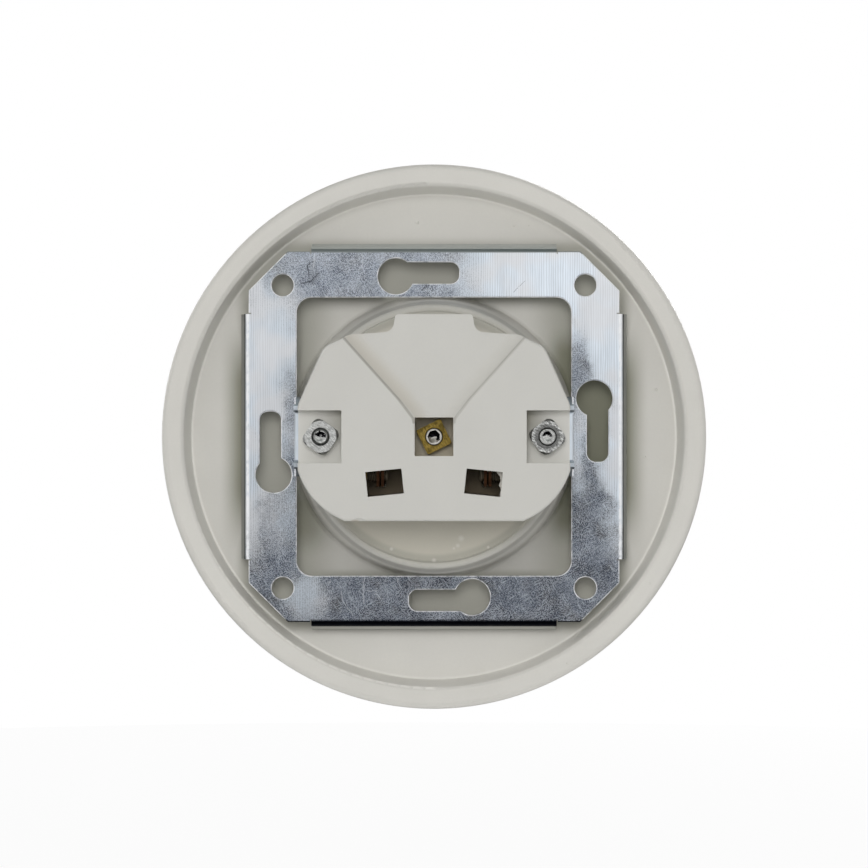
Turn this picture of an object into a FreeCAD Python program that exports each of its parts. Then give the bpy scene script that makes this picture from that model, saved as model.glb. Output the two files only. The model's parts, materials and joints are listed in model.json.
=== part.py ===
"""Type F wall socket: ceramic cover, steel mounting frame and porcelain base with its metal parts.

The socket stands as it hangs on a wall: Z is up, the room is at -Y and the wall at +Y.
The origin is the middle of the mounting frame's rear face, which lies against the wall.
Left and right are as seen from the room. All sizes are in millimetres.
"""

import os

import FreeCAD
import Part
from FreeCAD import Vector
from math import asin, atan2, cos, hypot, pi, radians, sin, sqrt, tan

# Fits shared by all the pieces
CLEARANCE = 0.25          # loose fit between neighbouring pieces
SCREW_CLEARANCE = 0.2     # a screw in a plain hole, on the radius
THREAD_CLEARANCE = 0.02   # a screw in its thread, on the radius

# Cover plate
PLATE_DIAMETER = 100.0
PLATE_FRONT = 14.0        # the lip of the well stands this far out from the wall
LIP_WIDTH = 5.0           # flat lip around the mouth of the well
LIP_STEP = 1.4            # the lip stands this far above the plate
PLATE_FALL = 2.0          # the plate slopes back this much from the lip to its edge
EDGE_ROUND = 5.0          # rounding of the front edge
RIM_WIDTH = 4.0           # flat rim that lies on the wall
RIM_ROUND = 1.3
RIM_INNER_ROUND = 0.8
RECESS_ROUND = 0.3
RIM_DRAFT = 1.0           # the rim's inside leans this much towards the plate
RECESS_DEPTH = 6.5        # hollow in the plate's back
WELL_DIAMETER = 40.0
WELL_DEPTH = 17.5
WELL_DRAFT = 0.35         # the well narrows this much towards its floor, on the radius
WELL_FLOOR = 4.5
CUP_GAP = 0.36            # cup-shaped back of the well, in the frame's window
CUP_SLOPE = 0.172         # the cup narrows this much for each millimetre of depth
PAD_INSET = 1.3           # raised pad on the cup that the base sits on
PAD_STEP = 0.8
GUIDE_WIDTH = 5.0         # two ribs that guide the plug
GUIDE_HEIGHT = 2.0
GUIDE_SETBACK = 2.5

# Pins of the plug
PIN_SPACING = 19.0
PIN_DIAMETER = 4.8
PIN_LENGTH = 19.0
PIN_HOLE_RADIUS = 2.75
PIN_FUNNEL = 0.9          # widening of the pin hole's mouth

# Mounting frame
SHEET = 0.8
FRAME_WIDTH = 68.0
FRAME_CHAMFER = 7.2
WINDOW_WIDTH = 50.3
WINDOW_HEIGHT = 51.0
WINDOW_ROUND = 2.75
CORNER_HOLE_SPACING = 55.5
CORNER_HOLE_RADIUS = 2.0
BOX_SCREW_SPACING = 60.0  # slots for the screws of the wall box
SLOT_WIDTH = 3.9
SLOT_REACH = 4.6          # the slot runs this far past the middle
SLOT_END_ROUND = 1.6
KEYHOLE_RADIUS = 3.3      # round end that lets a screw head through
KEYHOLE_SHIFT = 7.0
KEYHOLE_INSET = 0.6
EDGE_SOFTENING = 0.25     # rounding of the punched edges
FLANGE_LENGTH = 45.0
FLANGE_START = 33.5       # distance of the flange's bend from the middle
FLANGE_BEND = 0.6         # inside radius of the bends in the sheet
FLANGE_LEG = 2.5
FLANGE_ANGLE = 75.0
HANGER_ROOT = 14.6        # width of the hanger where it leaves the frame
HANGER_WIDTH = 11.6
FOOT_WIDTH = 8.4
FOOT_DEPTH = 12.0         # rear face of the foot, behind the wall plane
FOOT_REACH = 8.3          # the foot's length inwards from the hanger
PRONG_HEIGHT = 1.4        # two prongs beside the foot stand past it by this much
PRONG_GAP = 0.25

# Porcelain base
BASE_SIDE_GAP = 0.35      # between the base's sides and the hangers
BASE_BOTTOM = 14.85       # lower edge, below the middle
BASE_SHOULDER = 18.5
BASE_SPOUT_TOP = 21.6
BASE_SPOUT_HALF = 6.8
BASE_REAR_WALL = 1.7      # porcelain behind the pins' ends
BASE_PIN_ROOM = 0.3
BASE_EDGE = 0.45
NUT_POCKET_HALF = 4.65
NUT_POCKET_REACH = 3.7    # the pocket's length inwards from the screw
EAR_THICKNESS = 9.0
POCKET_ROUND = 0.15       # corners of the pockets, the earth hole and the wire entries
EARTH_HOLE = 6.8
EARTH_HOLE_FLOOR = 15.0   # depth of the nut's seat, behind the wall plane
FUNNEL_HALF_TOP = 16.9    # half width of the wire funnel at the shoulder
FUNNEL_SPREAD = 0.896     # its half width grows this much for each millimetre upwards
FUNNEL_END_MARGIN = 0.15  # it closes round the earth hole this far beside it
FUNNEL_BEND = 0.35        # how softly its edges turn down beside the earth hole
FUNNEL_DEPTH = 1.2
FUNNEL_WALL = 3.3         # width of the rounded walls beside its flat floor
ENTRY_WIDTH = 6.4         # wire entries
ENTRY_HEIGHT = 4.4
ENTRY_SIDE = 8.7
ENTRY_DROP = 8.1
ENTRY_TILT = 5.8
CHIP_X = 13.2             # small chip out of the lower rear edge
CHIP_RADIUS = 1.9
CHIP_BITE = 0.45

# Contacts and their terminals
STRIP = 0.5
SLEEVE_RADIUS = 2.35      # inside radius, a little tighter than the pin
TAIL_GAP = 0.3
TAIL_END = 8.8            # lower end of the tails, below the pins
CONTACT_SETBACK = 0.6     # front end of the contact behind the base's front
TERMINAL_DROP = 6.8       # terminal screw, below the pins
TERMINAL_SETBACK = 8.3    # terminal screw, in front of the base's rear face
TERMINAL_RADIUS = 1.25
TERMINAL_HEAD_RADIUS = 2.25
TERMINAL_HEAD = 1.5
WIRE_ROOM = 1.8           # space for the wire between tail and clamp plate
CLAMP_PLATE = 0.8
CLAMP_SIZE = 5.0

# Screws and nuts
SCREW_RADIUS = 1.5
HEAD_RADIUS = 2.75
HEAD_HEIGHT = 1.7
SLOT_IN_HEAD = 0.8
POINT_CHAMFER = 0.2
POINT_CUP = 0.95          # hollow in the end of each screw
BASE_SCREW_INSET = 4.35   # screw of the base, inwards from the hanger
BASE_NUT = 5.2
BASE_NUT_HEIGHT = 2.4
BASE_NUT_ROUND = 1.2
BASE_NUT_CROWN = 2.8       # radius of the flat top inside the turned bevel
CROWN_ANGLE = 40.0
BASE_NUT_TURN_RIGHT = 55.0
BASE_NUT_TURN_LEFT = 53.0
EARTH_NUT = 4.8
EARTH_NUT_HEIGHT = 2.4
EARTH_NUT_CROWN = 3.2
EARTH_NUT_TURN = 26.0
BASE_NUT_MOUTH = 0.12      # widening of the thread's mouth
EARTH_NUT_MOUTH = 0.08

# Earth bracket
BRACKET_STRIP = 0.8
BRACKET_WIDTH = 6.0
BRACKET_RECESS = 2.4      # the bracket and screw head lie this deep in the floor
BRACKET_GROOVE = 1.0      # groove in the well's wall behind each arm
BRACKET_BOW = 3.6         # the arms bow this far into the well
BRACKET_REACH = 3.0       # the arms end this far inside the mouth

# Depths and places that follow from the sizes above
well_floor_y = WELL_DEPTH - PLATE_FRONT
base_front_y = well_floor_y + WELL_FLOOR
pin_end_y = well_floor_y + PIN_LENGTH
chamber_y = pin_end_y + BASE_PIN_ROOM
base_rear_y = chamber_y + BASE_REAR_WALL
foot_front_y = FOOT_DEPTH - SHEET
ear_rear_y = FOOT_DEPTH + EAR_THICKNESS
pin_x = PIN_SPACING / 2
hanger_outer_x = WINDOW_WIDTH / 2
hanger_inner_x = hanger_outer_x - SHEET
base_screw_x = hanger_inner_x - BASE_SCREW_INSET
base_half_width = hanger_inner_x - BASE_SIDE_GAP
sleeve_outer = SLEEVE_RADIUS + STRIP
tail_outer_x = TAIL_GAP / 2 + STRIP
terminal_y = base_rear_y - TERMINAL_SETBACK
clamp_x = pin_x + tail_outer_x + WIRE_ROOM
groove_floor_y = well_floor_y + BRACKET_RECESS
well_floor_radius = WELL_DIAMETER / 2 - WELL_DRAFT
groove_radius = WELL_DIAMETER / 2 + BRACKET_GROOVE
arm_z = groove_radius - CLEARANCE - BRACKET_STRIP / 2


def rear(y):
    """Place flat points in a plane that faces the wall, at depth y."""
    return lambda x, z: Vector(x, y, z)


def side(x):
    """Place flat points (z, y) in a plane that faces sideways."""
    return lambda z, y: Vector(x, y, z)


def level(z):
    """Place flat points (x, y) in a level plane."""
    return lambda x, y: Vector(x, y, z)


def rounded_edges(corners, place, closed=True):
    """Lines through corners (u, v, radius), each corner rounded by its radius."""
    count = len(corners)
    spans = []
    for i, (u, v, radius) in enumerate(corners):
        if radius < 1e-6 or (not closed and i in (0, count - 1)):
            spans.append(((u, v), None, (u, v)))
            continue
        bu, bv = corners[i - 1][0] - u, corners[i - 1][1] - v
        fu, fv = corners[(i + 1) % count][0] - u, corners[(i + 1) % count][1] - v
        bl, fl = hypot(bu, bv), hypot(fu, fv)
        bu, bv, fu, fv = bu / bl, bv / bl, fu / fl, fv / fl
        half = atan2(hypot(bu - fu, bv - fv), hypot(bu + fu, bv + fv))
        run = radius / tan(half)
        mu, mv = bu + fu, bv + fv
        ml = hypot(mu, mv)
        out = radius / sin(half) - radius
        spans.append(((u + bu * run, v + bv * run),
                      (u + mu / ml * out, v + mv / ml * out),
                      (u + fu * run, v + fv * run)))
    edges = []
    for i in range(count):
        first, middle, last = spans[i]
        if middle:
            edges.append(Part.Arc(place(*first), place(*middle), place(*last)).toShape())
        if closed or i < count - 1:
            onward = spans[(i + 1) % count][0]
            if hypot(onward[0] - last[0], onward[1] - last[1]) > 1e-6:
                edges.append(Part.LineSegment(place(*last), place(*onward)).toShape())
    return edges


def rounded_face(corners, place):
    return Part.Face(Part.Wire(rounded_edges(corners, place)))


def prism(corners, y0, y1):
    """Solid with outline corners (x, z, radius) from depth y0 to depth y1."""
    return rounded_face(corners, rear(y0)).extrude(Vector(0, y1 - y0, 0))


def shifted_path(path, distance):
    """Move an open path sideways, keeping its bends concentric."""
    lines = []
    for (u0, v0, _), (u1, v1, _) in zip(path, path[1:]):
        length = hypot(u1 - u0, v1 - v0)
        du, dv = (u1 - u0) / length, (v1 - v0) / length
        lines.append((u0 - dv * distance, v0 + du * distance, du, dv, length))
    moved = [(lines[0][0], lines[0][1], 0)]
    for i in range(1, len(lines)):
        u0, v0, du0, dv0, _ = lines[i - 1]
        u1, v1, du1, dv1, _ = lines[i]
        turn = du0 * dv1 - dv0 * du1
        along = ((u1 - u0) * dv1 - (v1 - v0) * du1) / turn
        radius = path[i][2] - distance * (1 if turn > 0 else -1)
        moved.append((u0 + du0 * along, v0 + dv0 * along, max(radius, 0)))
    u, v, du, dv, length = lines[-1]
    moved.append((u + du * length, v + dv * length, 0))
    return moved


def strip(path, thickness, place, direction):
    """Bent strip: middle line path (u, v, bend radius), given thickness, swept along direction."""
    left = shifted_path(path, thickness / 2)
    right = shifted_path(path, -thickness / 2)
    face = rounded_face(left + right[::-1], place)
    return face.extrude(direction)


def box(x0, x1, y0, y1, z0, z1):
    return Part.makeBox(x1 - x0, y1 - y0, z1 - z0, Vector(x0, y0, z0))


def rod(radius, y0, y1, x=0.0, z=0.0):
    return Part.makeCylinder(radius, y1 - y0, Vector(x, y0, z), Vector(0, 1, 0))


def taper(radius0, radius1, y0, y1, x=0.0, z=0.0):
    return Part.makeCone(radius0, radius1, y1 - y0, Vector(x, y0, z), Vector(0, 1, 0))


def turned(shape, angle, about=Vector(0, 0, 0), axis=Vector(0, 1, 0)):
    copy = shape.copy()
    copy.rotate(about, axis, angle)
    return copy


def other_side(shape):
    """The same piece on the left instead of the right."""
    return shape.mirror(Vector(0, 0, 0), Vector(1, 0, 0))


def whole(shape):
    """Tidy a joined shape and return its one solid."""
    tidy = shape.removeSplitter()
    solids = tidy.Solids
    return solids[0] if len(solids) == 1 else tidy


def edges_at_depth(shape, y, wanted):
    """Edges that lie wholly at depth y and that wanted accepts."""
    found = []
    for edge in shape.Edges:
        limits = edge.BoundBox
        if abs(limits.YMin - y) < 1e-4 and abs(limits.YMax - y) < 1e-4 and wanted(edge):
            found.append(edge)
    return found


def cover_plate():
    outer = PLATE_DIAMETER / 2
    mouth = WELL_DIAMETER / 2
    lip = mouth + LIP_WIDTH
    plate_y = -PLATE_FRONT + LIP_STEP
    edge_y = plate_y + PLATE_FALL
    rim_inner = outer - RIM_WIDTH
    cup_y = base_front_y - PAD_STEP
    cup_middle = WINDOW_HEIGHT / 2 - CUP_GAP
    cup_root = cup_middle + CUP_SLOPE * RECESS_DEPTH
    cup_top = cup_middle - CUP_SLOPE * cup_y
    pad = cup_top - PAD_INSET
    outline = [
        (0, well_floor_y, 0),
        (well_floor_radius, well_floor_y, 0.8),
        (mouth, -PLATE_FRONT, 1.2),
        (lip, -PLATE_FRONT, 0.8),
        (lip + 0.6, plate_y, 0.6),
        (outer, edge_y, EDGE_ROUND),
        (outer, 0, RIM_ROUND),
        (rim_inner, 0, RIM_INNER_ROUND),
        (rim_inner - RIM_DRAFT, -RECESS_DEPTH, RECESS_ROUND),
        (cup_root, -RECESS_DEPTH, 0.8),
        (cup_top, cup_y, 0.7),
        (pad + 0.25, cup_y, 0.15),
        (pad, base_front_y, 0.3),
        (0, base_front_y, 0),
    ]
    body = rounded_face(outline, level(0)).revolve(Vector(0, 0, 0), Vector(0, 1, 0), 360)

    # Ribs that guide the plug, left and right in the well
    rib_y = -PLATE_FRONT + GUIDE_SETBACK
    rib_x = mouth - GUIDE_HEIGHT
    half = GUIDE_WIDTH / 2
    rib = rounded_face([(rib_x, -half, 0.8), (mouth + 1, -half - 0.3, 0), (mouth + 1, half + 0.3, 0),
                        (rib_x, half, 0.8)], rear(rib_y)).extrude(Vector(0, well_floor_y + 0.5 - rib_y, 0))
    body = body.fuse([rib, other_side(rib)])

    # Grooves for the earth bracket, across the floor and up the well's wall
    half = BRACKET_WIDTH / 2 + CLEARANCE
    channel = box(-half, half, -PLATE_FRONT - 1, groove_floor_y, mouth - 3, groove_radius)
    cuts = [box(-half, half, well_floor_y - 1, groove_floor_y, -groove_radius, groove_radius),
            channel, turned(channel, 180)]

    # Holes for the pins and the centre screw
    for x in (-pin_x, pin_x):
        cuts.append(rod(PIN_HOLE_RADIUS, well_floor_y - 1, base_front_y + 1, x))
        cuts.append(taper(PIN_HOLE_RADIUS + PIN_FUNNEL + 0.5, PIN_HOLE_RADIUS,
                          well_floor_y - 0.5, well_floor_y + PIN_FUNNEL, x))
    cuts.append(rod(SCREW_RADIUS + SCREW_CLEARANCE, groove_floor_y - 1, base_front_y + 1))

    # Flats on the cup that clear the frame's hangers
    flat_x = hanger_inner_x - CLEARANCE
    flat_half = HANGER_ROOT / 2 + 2 * CLEARANCE
    flat = box(flat_x, cup_root + 2, -SHEET - 4 * CLEARANCE, base_front_y + 1, -flat_half, flat_half)
    cuts += [flat, other_side(flat)]
    return whole(body.cut(cuts))


def frame_sheet():
    half = FRAME_WIDTH / 2
    inner = half - FRAME_CHAMFER
    sheet = prism([(-inner, half, 0.4), (inner, half, 0.4), (half, inner, 0.4), (half, -inner, 0.4),
                   (inner, -half, 0.4), (-inner, -half, 0.4), (-half, -inner, 0.4), (-half, inner, 0.4)],
                  -SHEET, 0)
    wide, high = WINDOW_WIDTH / 2, WINDOW_HEIGHT / 2
    cuts = [prism([(-wide, -high, WINDOW_ROUND), (wide, -high, WINDOW_ROUND), (wide, high, WINDOW_ROUND),
                   (-wide, high, WINDOW_ROUND)], -SHEET - 1, 1)]
    hole = CORNER_HOLE_SPACING / 2
    cuts += [rod(CORNER_HOLE_RADIUS, -SHEET - 1, 1, x, z) for x in (-hole, hole) for z in (-hole, hole)]
    slot_z = BOX_SCREW_SPACING / 2
    low, top = slot_z - SLOT_WIDTH / 2, slot_z + SLOT_WIDTH / 2
    slot = prism([(KEYHOLE_SHIFT, low, 0), (KEYHOLE_SHIFT, top, 0), (-SLOT_REACH, top, SLOT_END_ROUND),
                  (-SLOT_REACH, low, SLOT_END_ROUND)], -SHEET - 1, 1)
    keyhole = slot.fuse(rod(KEYHOLE_RADIUS, -SHEET - 1, 1, KEYHOLE_SHIFT, slot_z - KEYHOLE_INSET))
    cuts += [turned(keyhole, angle) for angle in (0, 90, 180, 270)]
    sheet = whole(sheet.cut(cuts))
    return sheet.makeFillet(EDGE_SOFTENING, edges_at_depth(sheet, 0, lambda edge: True))


def mounting_frame():
    frame = frame_sheet()
    middle = -SHEET / 2
    bend = FLANGE_BEND + SHEET / 2

    # Edge flanges, bent forward on all four sides
    relief = FLANGE_LENGTH / 2 + 0.2
    strip_away = box(-relief, relief, -SHEET - 1, 1, FLANGE_START, FRAME_WIDTH)
    run = bend * tan(radians(FLANGE_ANGLE) / 2)
    corner = FLANGE_START + run
    leg = FLANGE_LEG + run
    path = [(FLANGE_START, middle, 0), (corner, middle, bend),
            (corner + leg * cos(radians(FLANGE_ANGLE)), middle - leg * sin(radians(FLANGE_ANGLE)), 0)]
    flange = strip(path, SHEET, side(-FLANGE_LENGTH / 2), Vector(FLANGE_LENGTH, 0, 0))
    quarter = (0, 90, 180, 270)
    frame = frame.cut([turned(strip_away, angle) for angle in quarter])

    # Hangers, bent back through the window's sides, with a foot folded inwards
    bend_x = hanger_outer_x + FLANGE_BEND
    half_root, half_width, half_foot = HANGER_ROOT / 2, HANGER_WIDTH / 2, FOOT_WIDTH / 2
    notch = box(hanger_inner_x - 1, bend_x, -SHEET - 1, 1, -half_root, half_root)
    frame = frame.cut([notch, other_side(notch)])
    line_x = hanger_outer_x - SHEET / 2
    foot_y = FOOT_DEPTH - SHEET / 2
    path = [(bend_x, middle, 0), (line_x, middle, bend), (line_x, foot_y, bend),
            (hanger_inner_x - FOOT_REACH, foot_y, 0)]
    hanger = strip(path, SHEET, level(-half_root), Vector(0, 0, HANGER_ROOT))
    fold_y = FOOT_DEPTH - SHEET - FLANGE_BEND - 0.5
    shape = rounded_face([(-half_root, -SHEET - 1, 0), (half_root, -SHEET - 1, 0), (half_root, 1.8, 2.0),
                          (half_width, 4.8, 2.0), (half_width, fold_y, 0), (half_foot, fold_y, 0),
                          (half_foot, FOOT_DEPTH + 1, 0), (-half_foot, FOOT_DEPTH + 1, 0),
                          (-half_foot, fold_y, 0), (-half_width, fold_y, 0), (-half_width, 4.8, 2.0),
                          (-half_root, 1.8, 2.0)], side(hanger_inner_x - FOOT_REACH - 1))
    hanger = hanger.common(shape.extrude(Vector(FOOT_REACH + 6, 0, 0)))
    prong_face = rounded_face([(half_foot + PRONG_GAP, fold_y - 0.5, 0), (half_width, fold_y - 0.5, 0),
                               (half_width, FOOT_DEPTH + PRONG_HEIGHT, 0.4),
                               (half_foot + PRONG_GAP, FOOT_DEPTH + PRONG_HEIGHT, 0.4)], side(hanger_inner_x))
    prong = prong_face.extrude(Vector(SHEET, 0, 0))
    hanger = hanger.fuse([prong, prong.mirror(Vector(0, 0, 0), Vector(0, 0, 1))])
    hanger = hanger.cut(rod(SCREW_RADIUS + SCREW_CLEARANCE, foot_front_y - 1, FOOT_DEPTH + 1, base_screw_x))
    frame = frame.fuse([turned(flange, angle) for angle in quarter] + [hanger, other_side(hanger)])
    return whole(frame)


def funnel_section(z, half, depth):
    """Outline of the wire funnel at one height: a flat floor between two rounded walls, open to the rear."""
    y = base_rear_y
    place = level(z)
    wall = min(FUNNEL_WALL, 0.9 * half)
    radius = (wall ** 2 + depth ** 2) / (2 * depth)
    lean = asin(wall / radius) / 2
    floor = half - wall
    arc_x = floor + radius * sin(lean)
    arc_y = y - depth + radius * (1 - cos(lean))
    left = Part.Arc(place(-half, y), place(-arc_x, arc_y), place(-floor, y - depth))
    right = Part.Arc(place(floor, y - depth), place(arc_x, arc_y), place(half, y))
    mouth = [place(half, y), place(half + 0.4, y + 2), place(-half - 0.4, y + 2), place(-half, y)]
    edges = [left, Part.LineSegment(place(-floor, y - depth), place(floor, y - depth)), right]
    edges += [Part.LineSegment(start, end) for start, end in zip(mouth, mouth[1:])]
    return Part.Wire([edge.toShape() for edge in edges])


def wire_funnel():
    """Space of the shallow funnel that leads the earth wire to the centre; it fades out beside the hole."""
    hole_top = EARTH_HOLE / 2
    low = -0.8 * hole_top
    high = BASE_SPOUT_TOP + 4
    end = hole_top + FUNNEL_END_MARGIN
    steps = 18
    wires = []
    for i in range(steps + 1):
        z = low + (high - low) * i / steps
        straight = FUNNEL_HALF_TOP - FUNNEL_SPREAD * (BASE_SHOULDER - z)
        half = (straight + end) / 2 + hypot((straight - end) / 2, FUNNEL_BEND)
        rise = min(1, (z - low) / (hole_top - low))
        wires.append(funnel_section(z, half, FUNNEL_DEPTH * (0.1 + 0.45 * (1 - cos(pi * rise)))))
    return Part.makeLoft(wires, True, False)


def socket_base():
    w = base_half_width
    right = [
        (BASE_SPOUT_HALF, BASE_SPOUT_TOP, 0.7),
        (BASE_SPOUT_HALF + 0.5, BASE_SHOULDER, 1.8),
        (w * 0.62, BASE_SHOULDER - 0.5, 3.0),
        (w * 0.81, BASE_SHOULDER - 2.7, 3.0),
        (w, BASE_SHOULDER * 0.3, 3.0),
        (w, -BASE_BOTTOM * 0.405, 0.5),
        (w * 0.902, -BASE_BOTTOM * 0.8135, w * 0.58),
        (w * 0.655, -BASE_BOTTOM, 0.3),
    ]
    outline = right + [(-x, z, radius) for x, z, radius in reversed(right)]
    body = prism(outline, base_front_y, base_rear_y)
    body = body.makeFillet(BASE_EDGE, edges_at_depth(body, base_rear_y, lambda edge: True))

    cuts = [wire_funnel()]
    # Earth nut's square hole and the centre screw's hole
    half = EARTH_HOLE / 2
    cuts.append(prism([(-half, -half, POCKET_ROUND), (half, -half, POCKET_ROUND), (half, half, POCKET_ROUND),
                       (-half, half, POCKET_ROUND)], EARTH_HOLE_FLOOR, base_rear_y + 1))
    cuts.append(rod(SCREW_RADIUS + SCREW_CLEARANCE, base_front_y - 1, EARTH_HOLE_FLOOR + 1))

    sides = []
    # Ears: nut pocket behind, room for the foot and screw head in front
    pocket_x = base_screw_x - NUT_POCKET_REACH
    sides.append(prism([(pocket_x, -NUT_POCKET_HALF, POCKET_ROUND), (w + 2, -NUT_POCKET_HALF, 0),
                        (w + 2, NUT_POCKET_HALF, 0), (pocket_x, NUT_POCKET_HALF, POCKET_ROUND)],
                       ear_rear_y, base_rear_y + 1))
    foot_half = FOOT_WIDTH / 2 + 2 * CLEARANCE
    foot_end = hanger_inner_x - FOOT_REACH - 2 * CLEARANCE
    sides.append(box(foot_end, w + 2, base_front_y - 1, FOOT_DEPTH, -foot_half, foot_half))
    sides.append(rod(SCREW_RADIUS + SCREW_CLEARANCE, FOOT_DEPTH - 1, ear_rear_y + 1, base_screw_x))

    # Contact's chamber, open to the front, and the wire entry, open to the rear
    sides.append(rod(sleeve_outer + CLEARANCE, base_front_y - 1, chamber_y, pin_x))
    tail_half = tail_outer_x + CLEARANCE
    sides.append(box(pin_x - tail_half, pin_x + tail_half, base_front_y - 1, chamber_y - 1,
                     -TAIL_END - CLEARANCE, 0))
    wide, high = ENTRY_WIDTH / 2, ENTRY_HEIGHT / 2
    entry = prism([(ENTRY_SIDE - wide, -ENTRY_DROP - high, POCKET_ROUND),
                   (ENTRY_SIDE + wide, -ENTRY_DROP - high, POCKET_ROUND),
                   (ENTRY_SIDE + wide, -ENTRY_DROP + high, POCKET_ROUND),
                   (ENTRY_SIDE - wide, -ENTRY_DROP + high, POCKET_ROUND)],
                  base_front_y + 1.5, base_rear_y + 1)
    sides.append(turned(entry, ENTRY_TILT, Vector(ENTRY_SIDE, 0, -ENTRY_DROP)))

    # Clamp plate's room and the terminal screw's way in from the side
    room = CLAMP_SIZE / 2 + CLEARANCE
    sides.append(box(pin_x, clamp_x + CLAMP_PLATE + CLEARANCE, terminal_y - room, terminal_y + room,
                     -TERMINAL_DROP - room, -TERMINAL_DROP + room))
    sides.append(Part.makeCylinder(TERMINAL_HEAD_RADIUS + CLEARANCE, w + 4 - clamp_x,
                                   Vector(clamp_x, terminal_y, -TERMINAL_DROP), Vector(1, 0, 0)))
    sides.append(box(pin_x - tail_outer_x - 1.4, pin_x, terminal_y - TERMINAL_RADIUS - 2 * CLEARANCE,
                     terminal_y + TERMINAL_RADIUS + 2 * CLEARANCE, -TERMINAL_DROP - TERMINAL_RADIUS - 2 * CLEARANCE,
                     -TERMINAL_DROP + TERMINAL_RADIUS + 2 * CLEARANCE))
    cuts += sides + [other_side(shape) for shape in sides]

    # Chip out of the lower rear edge
    away = (CHIP_RADIUS - CHIP_BITE) * sqrt(0.5)
    cuts.append(Part.makeSphere(CHIP_RADIUS, Vector(CHIP_X, base_rear_y + away, -BASE_BOTTOM - away)))
    return whole(body.cut(cuts))


def contact():
    """Sleeve for one pin with two tails that hang down to the wire entry, on the right."""
    front, back = base_front_y + CONTACT_SETBACK, chamber_y - 1 - CLEARANCE
    gap = TAIL_GAP / 2
    sleeve = rod(sleeve_outer, front, back, pin_x).cut(rod(SLEEVE_RADIUS, front - 1, back + 1, pin_x))
    sleeve = sleeve.cut(box(pin_x - gap, pin_x + gap, front - 1, back + 1, -sleeve_outer - 1, 0))
    root = -sqrt(SLEEVE_RADIUS ** 2 - gap ** 2)
    tails = [box(pin_x + gap, pin_x + tail_outer_x, front, back, -TAIL_END, root),
             box(pin_x - tail_outer_x, pin_x - gap, front, back, -TAIL_END, root)]
    screw_hole = Part.makeCylinder(TERMINAL_RADIUS + SCREW_CLEARANCE, 2 * tail_outer_x,
                                   Vector(pin_x, terminal_y, -TERMINAL_DROP), Vector(1, 0, 0))
    thread = Part.makeCylinder(TERMINAL_RADIUS + THREAD_CLEARANCE, 4 * tail_outer_x,
                               Vector(pin_x - 2 * tail_outer_x, terminal_y, -TERMINAL_DROP), Vector(1, 0, 0))
    funnel = taper(SLEEVE_RADIUS + 0.35, SLEEVE_RADIUS, front, front + 0.9, pin_x)
    return whole(sleeve.fuse(tails).cut([screw_hole, thread, funnel]))


def clamp_plate():
    half = CLAMP_SIZE / 2
    corners = [(terminal_y - half, -half - TERMINAL_DROP, 0.5), (terminal_y + half, -half - TERMINAL_DROP, 0.5),
               (terminal_y + half, half - TERMINAL_DROP, 0.5), (terminal_y - half, half - TERMINAL_DROP, 0.5)]
    plate = rounded_face(corners, lambda y, z: Vector(clamp_x, y, z)).extrude(Vector(CLAMP_PLATE, 0, 0))
    hole = Part.makeCylinder(TERMINAL_RADIUS + SCREW_CLEARANCE, CLAMP_PLATE + 2,
                             Vector(clamp_x - 1, terminal_y, -TERMINAL_DROP), Vector(1, 0, 0))
    return plate.cut(hole)


def screw(radius, head_radius, head_height, length):
    """Slotted screw along +Y: the head's seat is at the origin and the head is in front of it."""
    shank = rod(radius, -0.2, length)
    shank = shank.cut(taper(0.05, POINT_CUP, length - 0.55, length + 0.05))
    point = rod(radius + 1, length - POINT_CHAMFER, length + 1)
    point = point.cut(taper(radius, radius - POINT_CHAMFER, length - POINT_CHAMFER, length))
    shank = shank.cut(point)
    head = rod(head_radius, -head_height, 0)
    rim = [edge for edge in head.Edges if abs(edge.BoundBox.YMax + head_height) < 1e-4]
    head = head.makeFillet(min(head_height * 0.55, head_radius * 0.4), rim)
    slot = box(-SLOT_IN_HEAD / 2, SLOT_IN_HEAD / 2, -head_height - 1, -head_height * 0.45,
               -head_radius - 1, head_radius + 1)
    return whole(head.fuse(shank).cut(slot))


def earth_screw():
    seat = groove_floor_y - BRACKET_STRIP
    length = EARTH_HOLE_FLOOR + EARTH_NUT_HEIGHT + 0.5 - seat
    part = turned(screw(SCREW_RADIUS, HEAD_RADIUS, HEAD_HEIGHT, length), 35)
    part.translate(Vector(0, seat, 0))
    return part


def base_screw():
    length = ear_rear_y + BASE_NUT_HEIGHT + 0.1 - foot_front_y
    part = turned(screw(SCREW_RADIUS, HEAD_RADIUS, HEAD_HEIGHT, length), 20)
    part.translate(Vector(base_screw_x, foot_front_y, 0))
    return part


def terminal_screw():
    length = clamp_x + CLAMP_PLATE - (pin_x - tail_outer_x - 0.7)
    part = screw(TERMINAL_RADIUS, TERMINAL_HEAD_RADIUS, TERMINAL_HEAD, length)
    part.rotate(Vector(0, 0, 0), Vector(0, 0, 1), 90)
    part.translate(Vector(clamp_x + CLAMP_PLATE, terminal_y, -TERMINAL_DROP))
    return part


def square_nut(width, height, corner, crown, mouth, turn):
    """Square nut that stands on the plane y = 0 and faces +Y, with a turned bevel around its top."""
    half = width / 2
    nut = prism([(-half, -half, corner), (half, -half, corner), (half, half, corner), (-half, half, corner)],
                0, height)
    spread = height / tan(radians(CROWN_ANGLE))
    nut = nut.common(taper(crown + spread, crown, 0, height))
    bore = SCREW_RADIUS + THREAD_CLEARANCE
    nut = nut.cut([rod(bore, -1, height + 1), taper(bore, bore + mouth, height - mouth, height)])
    return turned(whole(nut), turn)


def base_nut(turn):
    nut = square_nut(BASE_NUT, BASE_NUT_HEIGHT, BASE_NUT_ROUND, BASE_NUT_CROWN, BASE_NUT_MOUTH, turn)
    nut.translate(Vector(base_screw_x, ear_rear_y, 0))
    return nut


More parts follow.
